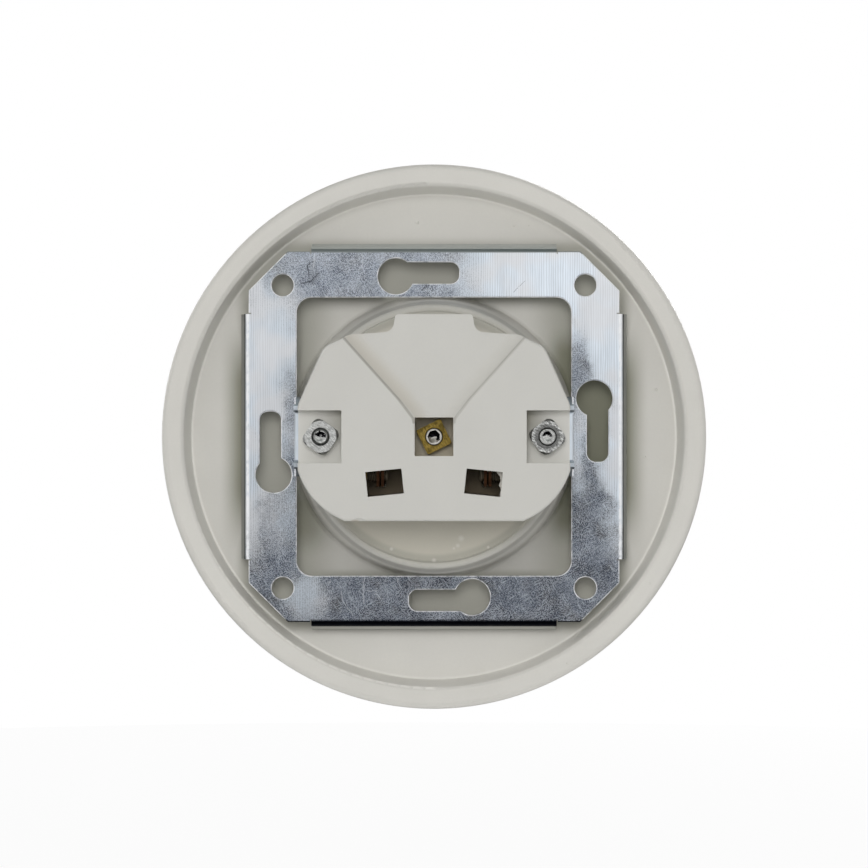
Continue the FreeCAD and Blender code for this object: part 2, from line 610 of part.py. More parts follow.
def earth_nut():
    nut = square_nut(EARTH_NUT, EARTH_NUT_HEIGHT, 0.25, EARTH_NUT_CROWN, EARTH_NUT_MOUTH, EARTH_NUT_TURN)
    nut.translate(Vector(0, EARTH_HOLE_FLOOR, 0))
    return nut


def earth_bracket():
    line_y = groove_floor_y - BRACKET_STRIP / 2
    tip_y = -PLATE_FRONT + BRACKET_REACH
    knee_y = well_floor_y - 4.0
    bow_y = tip_y + 4.6
    right = [(arm_z, line_y, 1.2), (arm_z, knee_y, 2.0), (arm_z - BRACKET_BOW, bow_y, 2.0),
             (arm_z - BRACKET_BOW * 0.45, tip_y, 0)]
    path = [(-z, y, radius) for z, y, radius in reversed(right)] + right
    bracket = strip(path, BRACKET_STRIP, side(-BRACKET_WIDTH / 2), Vector(BRACKET_WIDTH, 0, 0))
    return bracket.cut(rod(SCREW_RADIUS + SCREW_CLEARANCE, groove_floor_y - 3, groove_floor_y + 1))


nodes = {
    "cover_plate": cover_plate(),
    "mounting_frame": mounting_frame(),
    "socket_base": socket_base(),
    "earth_bracket": earth_bracket(),
    "earth_screw": earth_screw(),
    "earth_nut": earth_nut(),
    "contact_right": contact(),
    "contact_left": other_side(contact()),
    "clamp_plate_right": clamp_plate(),
    "clamp_plate_left": other_side(clamp_plate()),
    "terminal_screw_right": terminal_screw(),
    "terminal_screw_left": other_side(terminal_screw()),
    "base_screw_right": base_screw(),
    "base_screw_left": other_side(base_screw()),
    "base_nut_right": base_nut(BASE_NUT_TURN_RIGHT),
    "base_nut_left": other_side(base_nut(BASE_NUT_TURN_LEFT)),
}

os.makedirs("parts", exist_ok=True)
for name, shape in nodes.items():
    shape.exportStep("parts/" + name + ".step")
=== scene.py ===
"""Finishes, small fittings and studio for a ceramic type F wall socket, seen from behind.

The frame holds the socket as it hangs on a wall: Z is up, the room is at -Y and the wall at +Y.
Objects are in metres. Patterns on the surfaces are laid out in millimetres.
"""

import json
import math
import random

import bmesh
import bpy
from bpy.props import FloatProperty, FloatVectorProperty, IntProperty, PointerProperty
from mathutils import Matrix, Vector

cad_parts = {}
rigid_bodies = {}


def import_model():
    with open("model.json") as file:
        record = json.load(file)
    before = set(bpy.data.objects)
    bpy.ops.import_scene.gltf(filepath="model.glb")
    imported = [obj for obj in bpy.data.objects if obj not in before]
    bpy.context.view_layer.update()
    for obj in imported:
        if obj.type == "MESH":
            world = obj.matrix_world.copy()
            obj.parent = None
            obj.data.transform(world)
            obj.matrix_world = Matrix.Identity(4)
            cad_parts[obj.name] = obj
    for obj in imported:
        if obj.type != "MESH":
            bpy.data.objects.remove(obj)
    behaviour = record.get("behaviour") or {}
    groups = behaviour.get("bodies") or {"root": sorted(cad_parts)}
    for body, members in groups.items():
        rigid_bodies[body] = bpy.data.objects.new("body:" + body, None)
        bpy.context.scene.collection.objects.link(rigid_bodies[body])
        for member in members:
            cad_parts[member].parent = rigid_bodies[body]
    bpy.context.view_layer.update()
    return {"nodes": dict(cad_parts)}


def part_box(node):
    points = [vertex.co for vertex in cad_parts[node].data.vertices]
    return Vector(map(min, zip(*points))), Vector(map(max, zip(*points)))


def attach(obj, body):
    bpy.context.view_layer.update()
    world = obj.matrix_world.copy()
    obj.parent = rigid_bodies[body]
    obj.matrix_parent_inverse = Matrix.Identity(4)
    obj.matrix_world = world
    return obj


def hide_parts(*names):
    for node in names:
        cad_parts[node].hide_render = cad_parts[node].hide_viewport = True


for leftover in list(bpy.data.objects):
    bpy.data.objects.remove(leftover)
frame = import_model()

bl_info = {
    "name": "Wall Socket Looks",
    "version": (1, 0, 0),
    "blender": (4, 5, 0),
    "location": "3D View > Sidebar > Socket",
    "description": "Finishes, small fittings and studio for a ceramic wall socket",
    "category": "Object",
}

MM = 0.001
FULL_TURN = 2.0 * math.pi
WHITE = (1.0, 1.0, 1.0, 1.0)
MIDDLE = (0.5, 0.5, 0.5)  # mean of a noise colour
FLAT = (1.0, 0.0, 1.0)  # leaves out the depth of a point
NO_LIMIT = 1000.0  # reach of a spot that has no edge in depth (millimetres)
TO_WALL = (0.0, 1.0, 0.0)

# Screws
AROUND = 40  # steps around a screw
ROWS_PER_TURN = 6  # steps along one turn of a thread
POINT_LENGTH = 0.6 * MM  # end of a screw past its thread
POINT_STEP = 0.10 * MM  # rise from the thread's root to the point
POINT_INSET = 0.04 * MM  # point below the thread's crest
SLOT_WIDTH = 0.8 * MM  # screwdriver slot
MAIN_HEAD = 1.7 * MM  # height of the main screws' heads
TERMINAL_HEAD = 1.5 * MM  # height of the terminal screws' heads
SHARP = math.radians(28)  # edges bent by more than this stay sharp
WELD = 1e-6  # points closer than this are one
# From the top of a head to its seat: shares of the head's radius and height
HEAD_PROFILE = ((0.0, 1.0), (0.45, 0.985), (0.72, 0.90), (0.90, 0.72), (1.0, 0.45), (1.0, 0.0))
PIT_CORNERS = 7  # sides of the pit in the end of a screw
# Rings of the pit: shares of its radius and depth, and how uneven the ring is
PIT_RINGS = ((1.0, 0.0, 0.07), (0.78, 0.40, 0.16), (0.40, 0.80, 0.30))
# Ends of the screws: radius of the flat ring, radius and depth of the pit (millimetres), level of the pit's
# painted black, seed
SCREW_ENDS = {
    "earth_screw": (1.36, 1.22, 0.50, -0.05, 3),
    "base_screw_right": (1.10, 1.02, 0.27, 0.20, 8),
    "base_screw_left": (1.34, 0.96, 0.26, 0.25, 5),
    "terminal_screw_left": (1.05, 0.80, 0.30, 0.0, 11),
    "terminal_screw_right": (1.05, 0.80, 0.30, 0.0, 13),
}

# Landmarks of the socket (millimetres)
HOLLOW_FLOOR = -6.5  # y of the hollow in the cover's back
CUP_REAR = 7.5  # y of the cup's rear
BASE_REAR = 24.5  # y of the base's rear face
HOLE_SIDE = 3.6  # half the width of the earth hole
FRAME_SIDE = 35.2  # half the width of the frame
SIDE_FOLD = 34.6  # x of the folds at the frame's sides
FOLD_LINE = 33.5  # z of the folds at its top and bottom

# Pimples of the glaze
PIMPLE_DENSITY = 5200.0  # to a square metre
PIMPLE_STEPS = 72  # steps around the bands that carry them
PIMPLE_BANDS = ((0.028, 0.0425, HOLLOW_FLOOR * MM), (0.0472, 0.0484, 0.0))  # inner and outer radius, y
SMALLEST_PIMPLE = 0.35  # share of the largest
PIMPLE_RISE = 0.45  # height as a share of the radius

# Rag of glaze on the wall of one wire entry: outline in x and z (millimetres), y and thickness
RAG_OUTLINE = ((-11.35, -5.75), (-12.05, -5.85), (-12.15, -8.0), (-12.30, -10.3), (-11.55, -10.35),
               (-11.80, -9.3), (-11.45, -8.6), (-11.75, -7.7), (-11.60, -6.9), (-11.05, -6.35))
RAG_Y = 22.6
RAG_THICKNESS = 0.35 * MM

# Lamps: name, place, size (metres) and share of the lamp power
LAMPS = (
    ("key", (0.05, 1.10, 0.22), 0.50, 1.22),
    ("top", (0.05, 0.55, 0.85), 0.70, 0.30),
    ("left", (0.90, 0.55, 0.10), 0.70, 0.22),
    ("right", (-0.90, 0.55, 0.10), 0.70, 0.20),
    ("front_key", (-0.45, -0.75, 0.50), 0.55, 1.20),
    ("front_fill", (0.60, -0.60, 0.20), 0.55, 0.32),
)
FLOOR_RADIUS = 0.45
FLOOR_GREY = (0.93, 0.93, 0.93)
FLOOR_GLOW = 0.88  # share of its own white in the floor that is seen
FLAG_ABOVE = 0.30  # height of the upper card
FLAG_GAP = 0.002  # lower card above the floor
FLAG_CORNERS = ((-0.3, -0.2), (0.3, -0.2), (0.3, 0.45), (-0.3, 0.45))
FLAG_PALE, FLAG_DARK = (0.24, 0.275, 0.265), (0.02, 0.022, 0.027)


def colour_property(name, description, default):
    return FloatVectorProperty(
        name=name, description=description, default=default, size=3, min=0.0, max=1.0, subtype="COLOR")


def length_property(name, description, default):
    return FloatProperty(
        name=name, description=description, default=default, min=0.0, precision=5, unit="LENGTH")


class CeramicSettings(bpy.types.PropertyGroup):
    """Glazed cover and porcelain base."""
    cover_colour: colour_property("Cover", "Glaze of the cover", (0.625, 0.612, 0.570))
    # The cup colour is partly the bare ceramic's own tone and partly painted shade from the base
    cup_colour: colour_property("Cup", "Bare back of the plug well", (0.480, 0.460, 0.395))
    base_colour: colour_property("Base", "Matt porcelain of the base", (0.560, 0.553, 0.519))
    pimple_size: length_property("Pimple size", "Radius of the largest pimples in the glaze", 0.00034)
    pimple_seed: IntProperty(name="Pimple seed", description="Where the pimples fall", default=7)


class ZincSettings(bpy.types.PropertyGroup):
    """Zinc plating of the frame, nuts and screws."""
    bright_colour: colour_property("Rolled", "Bright streaky zinc", (0.680, 0.740, 0.805))
    dull_colour: colour_property("Spangled", "Light grains of the dull zinc", (0.600, 0.640, 0.710))
    dark_colour: colour_property("Grain", "Dark grains of the dull zinc", (0.060, 0.067, 0.086))
    fixing_colour: colour_property("Fixings", "Plating of nuts and screws", (0.560, 0.565, 0.550))


class FittingSettings(bpy.types.PropertyGroup):
    """Brass, copper and nickel, and the screws' threads."""
    brass_colour: colour_property("Brass", "Earth nut and clamp plates", (0.290, 0.205, 0.050))
    # The contact copper is far darker than clean copper: painted shade of the dark wire entries
    shaded_copper_colour: colour_property("Copper", "Contact strips", (0.060, 0.028, 0.014))
    nickel_colour: colour_property("Nickel", "Earth bracket and centre screw", (0.640, 0.610, 0.560))
    thread_pitch: length_property("Thread pitch", "From one turn of a thread to the next", 0.0005)
    thread_depth: length_property("Thread depth", "From crest to root", 0.00026)
    shank_radius: length_property("Shank radius", "Crest of the main screws' threads", 0.0015)
    terminal_radius: length_property("Terminal radius", "Crest of the terminal screws' threads", 0.00125)


class StudioSettings(bpy.types.PropertyGroup):
    """Camera, lamps and floor."""
    camera_distance: length_property("Camera distance", "From the wall plane", 0.6)
    view_width: length_property("View width", "Width of the picture in the wall plane", 0.1591)
    view_lift: length_property("View lift", "Middle of the picture above the socket's middle", 0.00048)
    floor_drop: length_property("Floor drop", "Floor below the socket's middle", 0.092)
    ambient: FloatProperty(name="Ambient", description="Light from all round", default=0.22, min=0.0)
    lamp_power: FloatProperty(name="Lamp power", description="Main lamp", default=4.6, min=0.0, unit="POWER")


def feed(tree, socket, value):
    """Link an output to a socket, or set the socket's own value."""
    if isinstance(value, bpy.types.NodeSocket):
        tree.links.new(value, socket)
    else:
        socket.default_value = value


def add(tree, kind, inputs=(), **settings):
    """Add a node with its settings. Inputs are pairs of socket name and value."""
    made = tree.nodes.new(kind)
    for name, value in settings.items():
        setattr(made, name, value)
    for name, value in inputs:
        feed(tree, made.inputs[name], value)
    return made


def fade(tree, value, low, high, at_low=0.0, at_high=1.0):
    """Smooth step from at_low to at_high while value goes from low to high."""
    inputs = (
        ("Value", value), ("From Min", low), ("From Max", high), ("To Min", at_low), ("To Max", at_high))
    return add(tree, "ShaderNodeMapRange", inputs, interpolation_type="SMOOTHSTEP").outputs["Result"]


def value_of(tree, value):
    """A number or output as it is; a tuple stands for a fade."""
    return fade(tree, *value) if isinstance(value, tuple) else value


def calc(tree, operation, *values, clamp=False):
    made = add(tree, "ShaderNodeMath", operation=operation, use_clamp=clamp)
    for socket, value in zip(made.inputs, values):
        feed(tree, socket, value_of(tree, value))
    return made.outputs[0]


def chain(operation):
    """A helper that joins any number of values by one operation, from the first to the last."""
    def join(tree, first, *others):
        for other in others:
            first = calc(tree, operation, first, other)
        return first
    return join


times, total, minus = chain("MULTIPLY"), chain("ADD"), chain("SUBTRACT")
most, least, ratio = chain("MAXIMUM"), chain("MINIMUM"), chain("DIVIDE")


def size_of(tree, value):
    return calc(tree, "ABSOLUTE", value)


def vector_calc(tree, operation, *values):
    made = add(tree, "ShaderNodeVectorMath", operation=operation)
    for socket, value in zip(made.inputs, values):
        feed(tree, socket, value)
    return made.outputs["Value"] if operation in ("LENGTH", "DOT_PRODUCT") else made.outputs["Vector"]


def scaled(tree, point, scale):
    return vector_calc(tree, "MULTIPLY", point, scale)


def parts_of(tree, vector):
    split = add(tree, "ShaderNodeSeparateXYZ", (("Vector", vector),))
    return split.outputs[0], split.outputs[1], split.outputs[2]


def vector_of(tree, x=0.0, y=0.0, z=0.0):
    return add(tree, "ShaderNodeCombineXYZ", (("X", x), ("Y", y), ("Z", z))).outputs[0]


def blend(tree, factor, first, second, mode="MIX"):
    made = add(tree, "ShaderNodeMix", data_type="RGBA", blend_type=mode)
    for index, value in ((0, value_of(tree, factor)), (6, first), (7, second)):
        feed(tree, made.inputs[index], value)
    return made.outputs[2]


def solid(colour):
    return (colour[0], colour[1], colour[2], 1.0)


def tinted(colour, gain):
    return (colour[0] * gain, colour[1] * gain, colour[2] * gain, 1.0)


def painted(tree, colour, paint, *masks):
    """Colour with a paint laid over it, as strong as the product of the masks."""
    return blend(tree, times(tree, *masks), colour, solid(paint))


def layered(tree, colour, *layers):
    """Colour with layers over it, each a paint and its masks."""
    for paint, *masks in layers:
        colour = painted(tree, colour, paint, *masks)
    return colour


def toned(tree, colour, tone):
    """Colour times a grey tone."""
    return blend(tree, 1.0, colour, vector_of(tree, tone, tone, tone), "MULTIPLY")


def noise(tree, point, scale, detail=2.0, roughness=0.5):
    inputs = (("Vector", point), ("Scale", scale), ("Detail", detail), ("Roughness", roughness))
    return add(tree, "ShaderNodeTexNoise", inputs).outputs[0]


def drift(tree, point, scale, detail, reach):
    """Random shift in x and z."""
    inputs = (("Vector", point), ("Scale", scale), ("Detail", detail))
    cloud = add(tree, "ShaderNodeTexNoise", inputs).outputs[1]
    return scaled(tree, vector_calc(tree, "SUBTRACT", cloud, MIDDLE), (reach, 0.0, reach))


def laid(tree, point, angle, scale):
    """The point turned about Y and stretched, which gives a pattern on it a lay."""
    inputs = (("Vector", point), ("Rotation", (0.0, math.radians(angle), 0.0)), ("Scale", scale))
    return add(tree, "ShaderNodeMapping", inputs, vector_type="TEXTURE").outputs[0]


def point_mm(tree):
    """The surface point in the socket's own frame, in millimetres."""
    place = add(tree, "ShaderNodeTexCoord").outputs["Object"]
    return scaled(tree, place, (1000.0, 1000.0, 1000.0))


def normal_parts(tree):
    return parts_of(tree, add(tree, "ShaderNodeNewGeometry").outputs["Normal"])


def new_group(name, inputs, outputs, kind="ShaderNodeTree"):
    """Node group with named sockets: inputs and outputs give the kind of each name."""
    group = bpy.data.node_groups.new(name, kind)
    for side, sockets in (("INPUT", inputs), ("OUTPUT", outputs)):
        for socket, holds in sockets.items():
            group.interface.new_socket(name=socket, in_out=side, socket_type="NodeSocket" + holds)
    return group, group.nodes.new("NodeGroupInput").outputs, group.nodes.new("NodeGroupOutput").inputs


MASK = dict(Mask="Float")
LINE = dict(Point="Vector", Start="Vector", Run="Vector", Width="Float")


def soft_spot_group():
    """Mask that is 1 at Centre and fades out at Reach from it, along each axis."""
    group, given, result = new_group(
        "soft_spot", dict(Point="Vector", Centre="Vector", Reach="Vector"), MASK)
    away = vector_calc(group, "SUBTRACT", given["Point"], given["Centre"])
    away = vector_calc(group, "LENGTH", vector_calc(group, "DIVIDE", away, given["Reach"]))
    feed(group, result["Mask"], fade(group, away, 1.0, 0.15))
    return group


def off_line(tree, flat, start, run):
    """Distance of a flat point from the piece of line that leaves start and goes along run."""
    away = vector_calc(tree, "SUBTRACT", flat, start)
    length = vector_calc(tree, "LENGTH", run)
    along = ratio(tree, vector_calc(tree, "DOT_PRODUCT", away, run), times(tree, length, length))
    held = least(tree, most(tree, along, 0.0), 1.0)
    foot = add(tree, "ShaderNodeVectorMath", (("Scale", held),), operation="SCALE")
    feed(tree, foot.inputs[0], run)
    return vector_calc(tree, "LENGTH", vector_calc(tree, "SUBTRACT", away, foot.outputs["Vector"]))


def scratch_group():
    """Mask of one thin, broken scratch from Start along Run."""
    group, given, result = new_group("scratch", LINE, MASK)
    wander = drift(group, given["Point"], 1.1, 2.0, 0.6)
    flat = scaled(group, vector_calc(group, "ADD", given["Point"], wander), FLAT)
    off = off_line(group, flat, given["Start"], given["Run"])
    broken = fade(group, noise(group, given["Point"], 2.6, 1.0), 0.30, 0.42)
    feed(group, result["Mask"], times(group, calc(group, "LESS_THAN", off, given["Width"]), broken))
    return group


def crease_group():
    """Mask of one soft line of dirt and painted shade from Start along Run, the same on both sides of the
    middle.
    """
    group, given, result = new_group("crease", LINE, MASK)
    x, _, z = parts_of(group, given["Point"])
    off = off_line(group, vector_of(group, x=size_of(group, x), z=z), given["Start"], given["Run"])
    feed(group, result["Mask"], fade(group, off, given["Width"], times(group, given["Width"], 0.3)))
    return group


def grain_group():
    """Fine grain for fired clay: a colour factor around 1, a roughness shift and a bump height."""
    group, given, result = new_group(
        "clay_grain", dict(Point="Vector", Size="Float", Contrast="Float"),
        dict(Tone="Float", Shift="Float", Height="Float"))
    fine = noise(group, given["Point"], ratio(group, 1.0, given["Size"]), 3.0, 0.6)
    broad = noise(group, given["Point"], 0.09, 3.0, 0.55)
    lift = minus(group, fine, 0.5)
    both = total(group, times(group, lift, 0.6), minus(group, broad, 0.5))
    feed(group, result["Tone"], calc(group, "MULTIPLY_ADD", both, given["Contrast"], 1.0))
    feed(group, result["Shift"], times(group, lift, 0.25))
    feed(group, result["Height"], total(group, fine, times(group, broad, 2.0)))
    return group


def speck_group():
    """Mask of a few small round specks, one in each of some random cells."""
    group, given, result = new_group(
        "specks", dict(Point="Vector", Cell="Float", Share="Float", Radius="Float"), MASK)
    inputs = (("Vector", given["Point"]), ("Scale", ratio(group, 1.0, given["Cell"])))
    cells = add(group, "ShaderNodeTexVoronoi", inputs).outputs
    picked = calc(group, "LESS_THAN", parts_of(group, cells["Color"])[0], given["Share"])
    reach = ratio(group, given["Radius"], given["Cell"])
    near = fade(group, cells["Distance"], reach, times(group, reach, 0.5))
    feed(group, result["Mask"], times(group, picked, near))
    return group


def shared(name):
    """The node group of this name, built the first time it is asked for."""
    builders = {"soft_spot": soft_spot_group, "scratch": scratch_group, "crease": crease_group,
                "clay_grain": grain_group, "specks": speck_group}
    return bpy.data.node_groups.get(name) or builders[name]()


def outputs_of(tree, name, **inputs):
    """Outputs of a shared group with these inputs."""
    made = add(tree, "ShaderNodeGroup", node_tree=shared(name))
    for socket, value in inputs.items():
        feed(tree, made.inputs[socket], value)
    return made.outputs


def spot_mask(tree, point, centre, reach):
    return outputs_of(tree, "soft_spot", Point=point, Centre=centre, Reach=reach)["Mask"]


def line_mask(tree, name, point, line, width):
    """Mask of a scratch or crease: a line is x and z of its start, then its run in x and z."""
    x, z, run_x, run_z = line
    made = outputs_of(tree, name, Point=point, Start=(x, 0.0, z), Run=(run_x, 0.0, run_z), Width=width)
    return made["Mask"]


def blank_material(name):
    material = bpy.data.materials.new(name)
    material.use_nodes = True
    material.node_tree.nodes.clear()
    return material, material.node_tree


def show(tree, shader):
    """Lead a shader to the material's output."""
    tree.links.new(shader.outputs[0], tree.nodes.new("ShaderNodeOutputMaterial").inputs[0])


def coat(tree, colour, roughness, bump, metallic=0.0, specular=0.5):
    """Give a material its one coat. A bump is its height, depth (metres) and strength."""
    inputs = (("Base Color", colour), ("Roughness", roughness), ("Metallic", metallic),
              ("Specular IOR Level", specular))
    shader = add(tree, "ShaderNodeBsdfPrincipled", inputs)
    relief = add(tree, "ShaderNodeBump", zip(("Height", "Distance", "Strength"), bump))
    feed(tree, shader.inputs["Normal"], relief.outputs[0])
    show(tree, shader)


def dress(material, *nodes):
    """Give CAD nodes a material."""
    for name in nodes:
        mesh = frame["nodes"][name].data
        mesh.materials.clear()
        mesh.materials.append(material)


# Cover: paints, and crumbs of glaze on the back of the well as x, z and reach (millimetres)
CUP_SHADE = (0.20, 0.20, 0.17)
COVER_SHADE = (0.20, 0.20, 0.145)
PAINTED_LIGHT_GLAZE = (0.84, 0.825, 0.775)
COVER_SPECK = (0.30, 0.28, 0.22)
CRUMBS = ((-4.3, -19.7, 0.55), (-4.9, -18.4, 0.80), (-3.6, -20.2, 0.35), (7.7, -20.3, 0.50),
          (0.0, -22.4, 0.60), (-9.8, -20.0, 0.40))


def hollow_shade(tree, x, z):
    """Mask of painted shade in the hollow around and under the frame."""
    wide, high = size_of(tree, x), size_of(tree, z)
    across = calc(tree, "MULTIPLY_ADD", total(tree, wide, high), math.sqrt(0.5), -9.0)
    beside = most(tree, wide, high, across)
    flanks = times(tree, (wide, FRAME_SIDE + 4.8, FRAME_SIDE, 0.0, 0.95), (high, 23.0, 9.0),
                   (beside, FRAME_SIDE - 1.7, FRAME_SIDE + 0.2))
    # The painted shade is weaker in the open corners of the window, and strongest at the window's sides
    clear = times(tree, (wide, 24.6, 16.5, 0.0, 0.92), (high, 25.8, 24.2))
    frame_shade = times(tree, (beside, FRAME_SIDE + 2.0, FRAME_SIDE - 0.6, 0.0, 0.52), minus(tree, 1.0, clear))
    side = times(
        tree, (x, 17.0, 23.0, 0.0, 0.34), (beside, 26.5, 25.5), (z, -8.0, -13.0), (z, -23.0, -17.0))
    under = (beside, FRAME_SIDE - 0.6, FRAME_SIDE - 1.2)
    other_side = times(tree, (x, -20.0, -24.0, 0.0, 0.46), under, (high, 21.0, 15.0))
    return total(tree, most(tree, frame_shade, flanks), side, other_side)


def cover_glaze(settings):
    """Warm pale grey satin glaze, bare and rougher on the plug well's back, with painted shade and light."""
    material, tree = blank_material("cover_glaze")
    point = point_mm(tree)
    x, y, z = parts_of(tree, point)
    radius = calc(tree, "SQRT", total(tree, times(tree, x, x), times(tree, z, z)))
    # Bare back of the well, partly its own tone and partly painted shade, laid on more strongly toward the
    # bottom
    bare_and_shade = times(tree, (y, CUP_REAR - 0.9, CUP_REAR - 0.2), (radius, 23.6, 22.4), (z, 10.0, -5.0, 0.7, 1.0))
    colour = blend(tree, bare_and_shade, solid(settings.cover_colour), solid(settings.cup_colour))
    # Painted shade: grey on the rounded edge of the cup, outside the base
    colour = painted(
        tree, colour, CUP_SHADE, (radius, 20.9, 21.9), (radius, 26.6, 25.4), (y, 1.0, 3.4, 0.0, 0.36))
    for crumb_x, crumb_z, reach in CRUMBS:
        crumb = spot_mask(tree, point, (crumb_x, CUP_REAR, crumb_z), (reach, 3.0, reach))
        colour = painted(tree, colour, settings.cover_colour, crumb, 0.6)
    # Painted shade darkens the hollow, and painted light brightens the inside of the rim and the bottom
    above = minus(tree, y, HOLLOW_FLOOR)
    behind = fade(tree, above, -0.9, -0.4)
    sunk = times(tree, (y, -0.02, -0.5), behind)
    colour = layered(
        tree, colour, (COVER_SHADE, hollow_shade(tree, x, z), (above, 0.9, 0.3), behind),
        (PAINTED_LIGHT_GLAZE, (radius, 44.4, 45.0), (radius, 47.2, 46.2), sunk, 0.9),
        (PAINTED_LIGHT_GLAZE, (z, -34.0, -44.0, 0.0, 0.35), sunk))
    grain = outputs_of(tree, "clay_grain", Point=point, Size=0.5, Contrast=0.10)
    colour = toned(tree, colour, grain["Tone"])
    specks = outputs_of(tree, "specks", Point=point, Cell=6.0, Share=0.10, Radius=0.3)
    colour = painted(tree, colour, COVER_SPECK, specks["Mask"], 0.35)
    rough = total(tree, (bare_and_shade, 0.0, 1.0, 0.42, 0.62), grain["Shift"])
    coat(tree, colour, rough, (grain["Height"], 0.03 * MM, 0.6), specular=0.4)
    return material


# Base: paints, some of them painted shade and painted light, middle of a wire entry, and the upper edges
# of the wire funnel, where dirt and painted shade lie, as x, z of the start and run in x and z (millimetres)
HOLE_DUST_AND_SHADE = (0.50, 0.455, 0.36)
ENTRY_DUST_AND_SHADE = (0.22, 0.18, 0.125)
POCKET_PAINTED_LIGHT = (0.80, 0.79, 0.74)
POCKET_SHADE = (0.20, 0.19, 0.14)
EDGE_HAZE_SHADE = (0.42, 0.36, 0.26)
EDGE_LINE_DIRT_AND_SHADE = (0.17, 0.155, 0.12)
CHIP_BROWN = (0.26, 0.18, 0.09)
BASE_SPECK = (0.33, 0.31, 0.26)
ENTRY_X, ENTRY_Z = 8.7, -8.1
FUNNEL_EDGE_LINES = ((15.8, 17.25, -9.57, -10.68), (6.23, 6.57, -2.48, -3.28), (3.75, 3.29, -0.16, -0.76))
LINE_WIDTH, HAZE_WIDTH = 0.34, 3.4


def base_porcelain(settings):
    """Matt pale porcelain, thin lines of dirt and painted shade by the funnel, dust and painted shade in
    hollows.
    """
    material, tree = blank_material("base_porcelain")
    point = point_mm(tree)
    x, y, z = parts_of(tree, point)
    wide, high = size_of(tree, x), size_of(tree, z)
    grain = outputs_of(tree, "clay_grain", Point=point, Size=0.35, Contrast=0.09)
    colour = toned(tree, solid(settings.base_colour), grain["Tone"])
    deep = minus(tree, BASE_REAR, y)
    inside = fade(tree, deep, 0.9, 3.5)
    off_x, off_z = size_of(tree, minus(tree, wide, ENTRY_X)), size_of(tree, minus(tree, z, ENTRY_Z))
    pocket = times(tree, (wide, 15.4, 16.0), (high, 4.9, 4.55), (deep, 0.2, 1.3))
    lines, soft_shade = (
        most(tree, *(line_mask(tree, "crease", point, line, width) for line in FUNNEL_EDGE_LINES))
        for width in (LINE_WIDTH, HAZE_WIDTH))
    chip = spot_mask(tree, point, (13.9, BASE_REAR - 0.3, -15.0), (1.2, 1.5, 0.6))
    specks = outputs_of(tree, "specks", Point=point, Cell=3.5, Share=0.12, Radius=0.16)
    colour = layered(
        tree, colour,
        # The earth hole and the wire entries are brown with dust and painted shade inside, darker with depth
        (HOLE_DUST_AND_SHADE, (wide, HOLE_SIDE, HOLE_SIDE - 0.15), (high, HOLE_SIDE, HOLE_SIDE - 0.15), inside),
        (ENTRY_DUST_AND_SHADE, (off_x, 3.9, 3.6), (off_z, 3.0, 2.7), inside),
        # Painted light brightens the nut pockets' floors, and painted shade darkens their upper inner
        # corners
        (POCKET_PAINTED_LIGHT, pocket, 0.35),
        (POCKET_SHADE, pocket, (wide, 20.5, 15.8), (z, -3.5, 5.0, 0.15, 1.0), (x, 8.0, -8.0, 0.55, 0.85)),
        # A line of dirt and painted shade runs along the funnel's edges, with a brown haze of painted shade
        # inside
        (EDGE_HAZE_SHADE, soft_shade, (deep, 4.0, 3.0), (deep, 0.08, 0.4), (x, -2.0, 2.0, 0.07, 0.27)),
        (EDGE_LINE_DIRT_AND_SHADE, lines, (x, -2.0, 2.0, 0.30, 0.50), (deep, 1.9, 1.1)),
        (CHIP_BROWN, chip, 0.5), (BASE_SPECK, specks["Mask"], 0.4))
    coat(tree, colour, total(tree, grain["Shift"], 0.58), (grain["Height"], 0.02 * MM, 0.6), specular=0.3)
    return material


# Bright zones of the frame, rolled zinc and painted reflection: x, z, reach in x, reach in z (millimetres)
# and weight
ROLLED_AND_REFLECTED_ZONES = (
    (31.5, 12.0, 13.0, 27.0, 1.15),
    (33.0, 27.0, 6.0, 8.0, 0.75),
    (34.8, -6.0, 6.5, 27.0, 1.0),
    (28.5, -13.0, 10.0, 13.0, 0.50),
    (23.5, -29.0, 6.5, 10.0, 0.62),
    (-24.0, 31.0, 30.0, 17.0, 1.4),
    (-32.5, 20.0, 14.0, 25.0, 1.2),
    (-35.0, -2.0, 7.5, 30.0, 1.1),
    (-27.0, -2.0, 7.0, 16.0, 0.62),
)

# Dull streaks within them: x, z, reach in x, reach in z (millimetres) and weight
DULL_STREAKS = ((-26.8, 12.5, 3.6, 9.0, 0.75), (-28.6, -4.0, 2.6, 8.0, 0.45), (26.4, 8.0, 3.0, 9.0, 0.45),
                (31.5, 9.0, 5.0, 7.0, 0.15), (-31.0, -13.0, 6.0, 4.0, 0.30))

# Scratches on the frame: x, z of the start, run in x and z, width (millimetres) and bright or dark
SCRATCHES = (
    (24.43, 28.10, -1.65, 0.27, 0.10, 0.0),
    (22.79, 28.38, -1.78, 1.61, 0.10, 0.0),
    (23.24, 31.33, -0.35, -2.03, 0.10, 0.0),
    (23.24, 31.33, -1.19, 0.81, 0.09, 0.0),
    (21.90, 33.60, 0.20, -2.50, 0.12, 1.0),
    (18.60, 34.00, -0.90, -1.20, 0.08, 1.0),
    (13.14, 33.60, 0.00, -2.70, 0.10, 1.0),
    (2.20, 26.90, -2.60, 1.90, 0.09, 0.0),
    (-14.60, 26.60, -2.00, 1.80, 0.04, 0.0),
    (12.80, -25.90, 0.15, -4.60, 0.12, 1.0),
    (16.87, -28.50, -0.07, -1.40, 0.10, 1.0),
    (16.80, -29.95, -1.90, -2.80, 0.10, 1.0),
    (12.10, -28.30, -1.70, 0.07, 0.10, 1.0),
    (10.84, -28.67, -1.13, -0.97, 0.08, 1.0),
    (19.00, -26.50, 0.25, -0.45, 0.14, 1.0),
    (6.65, -26.10, 0.00, -0.50, 0.16, 1.0),
)
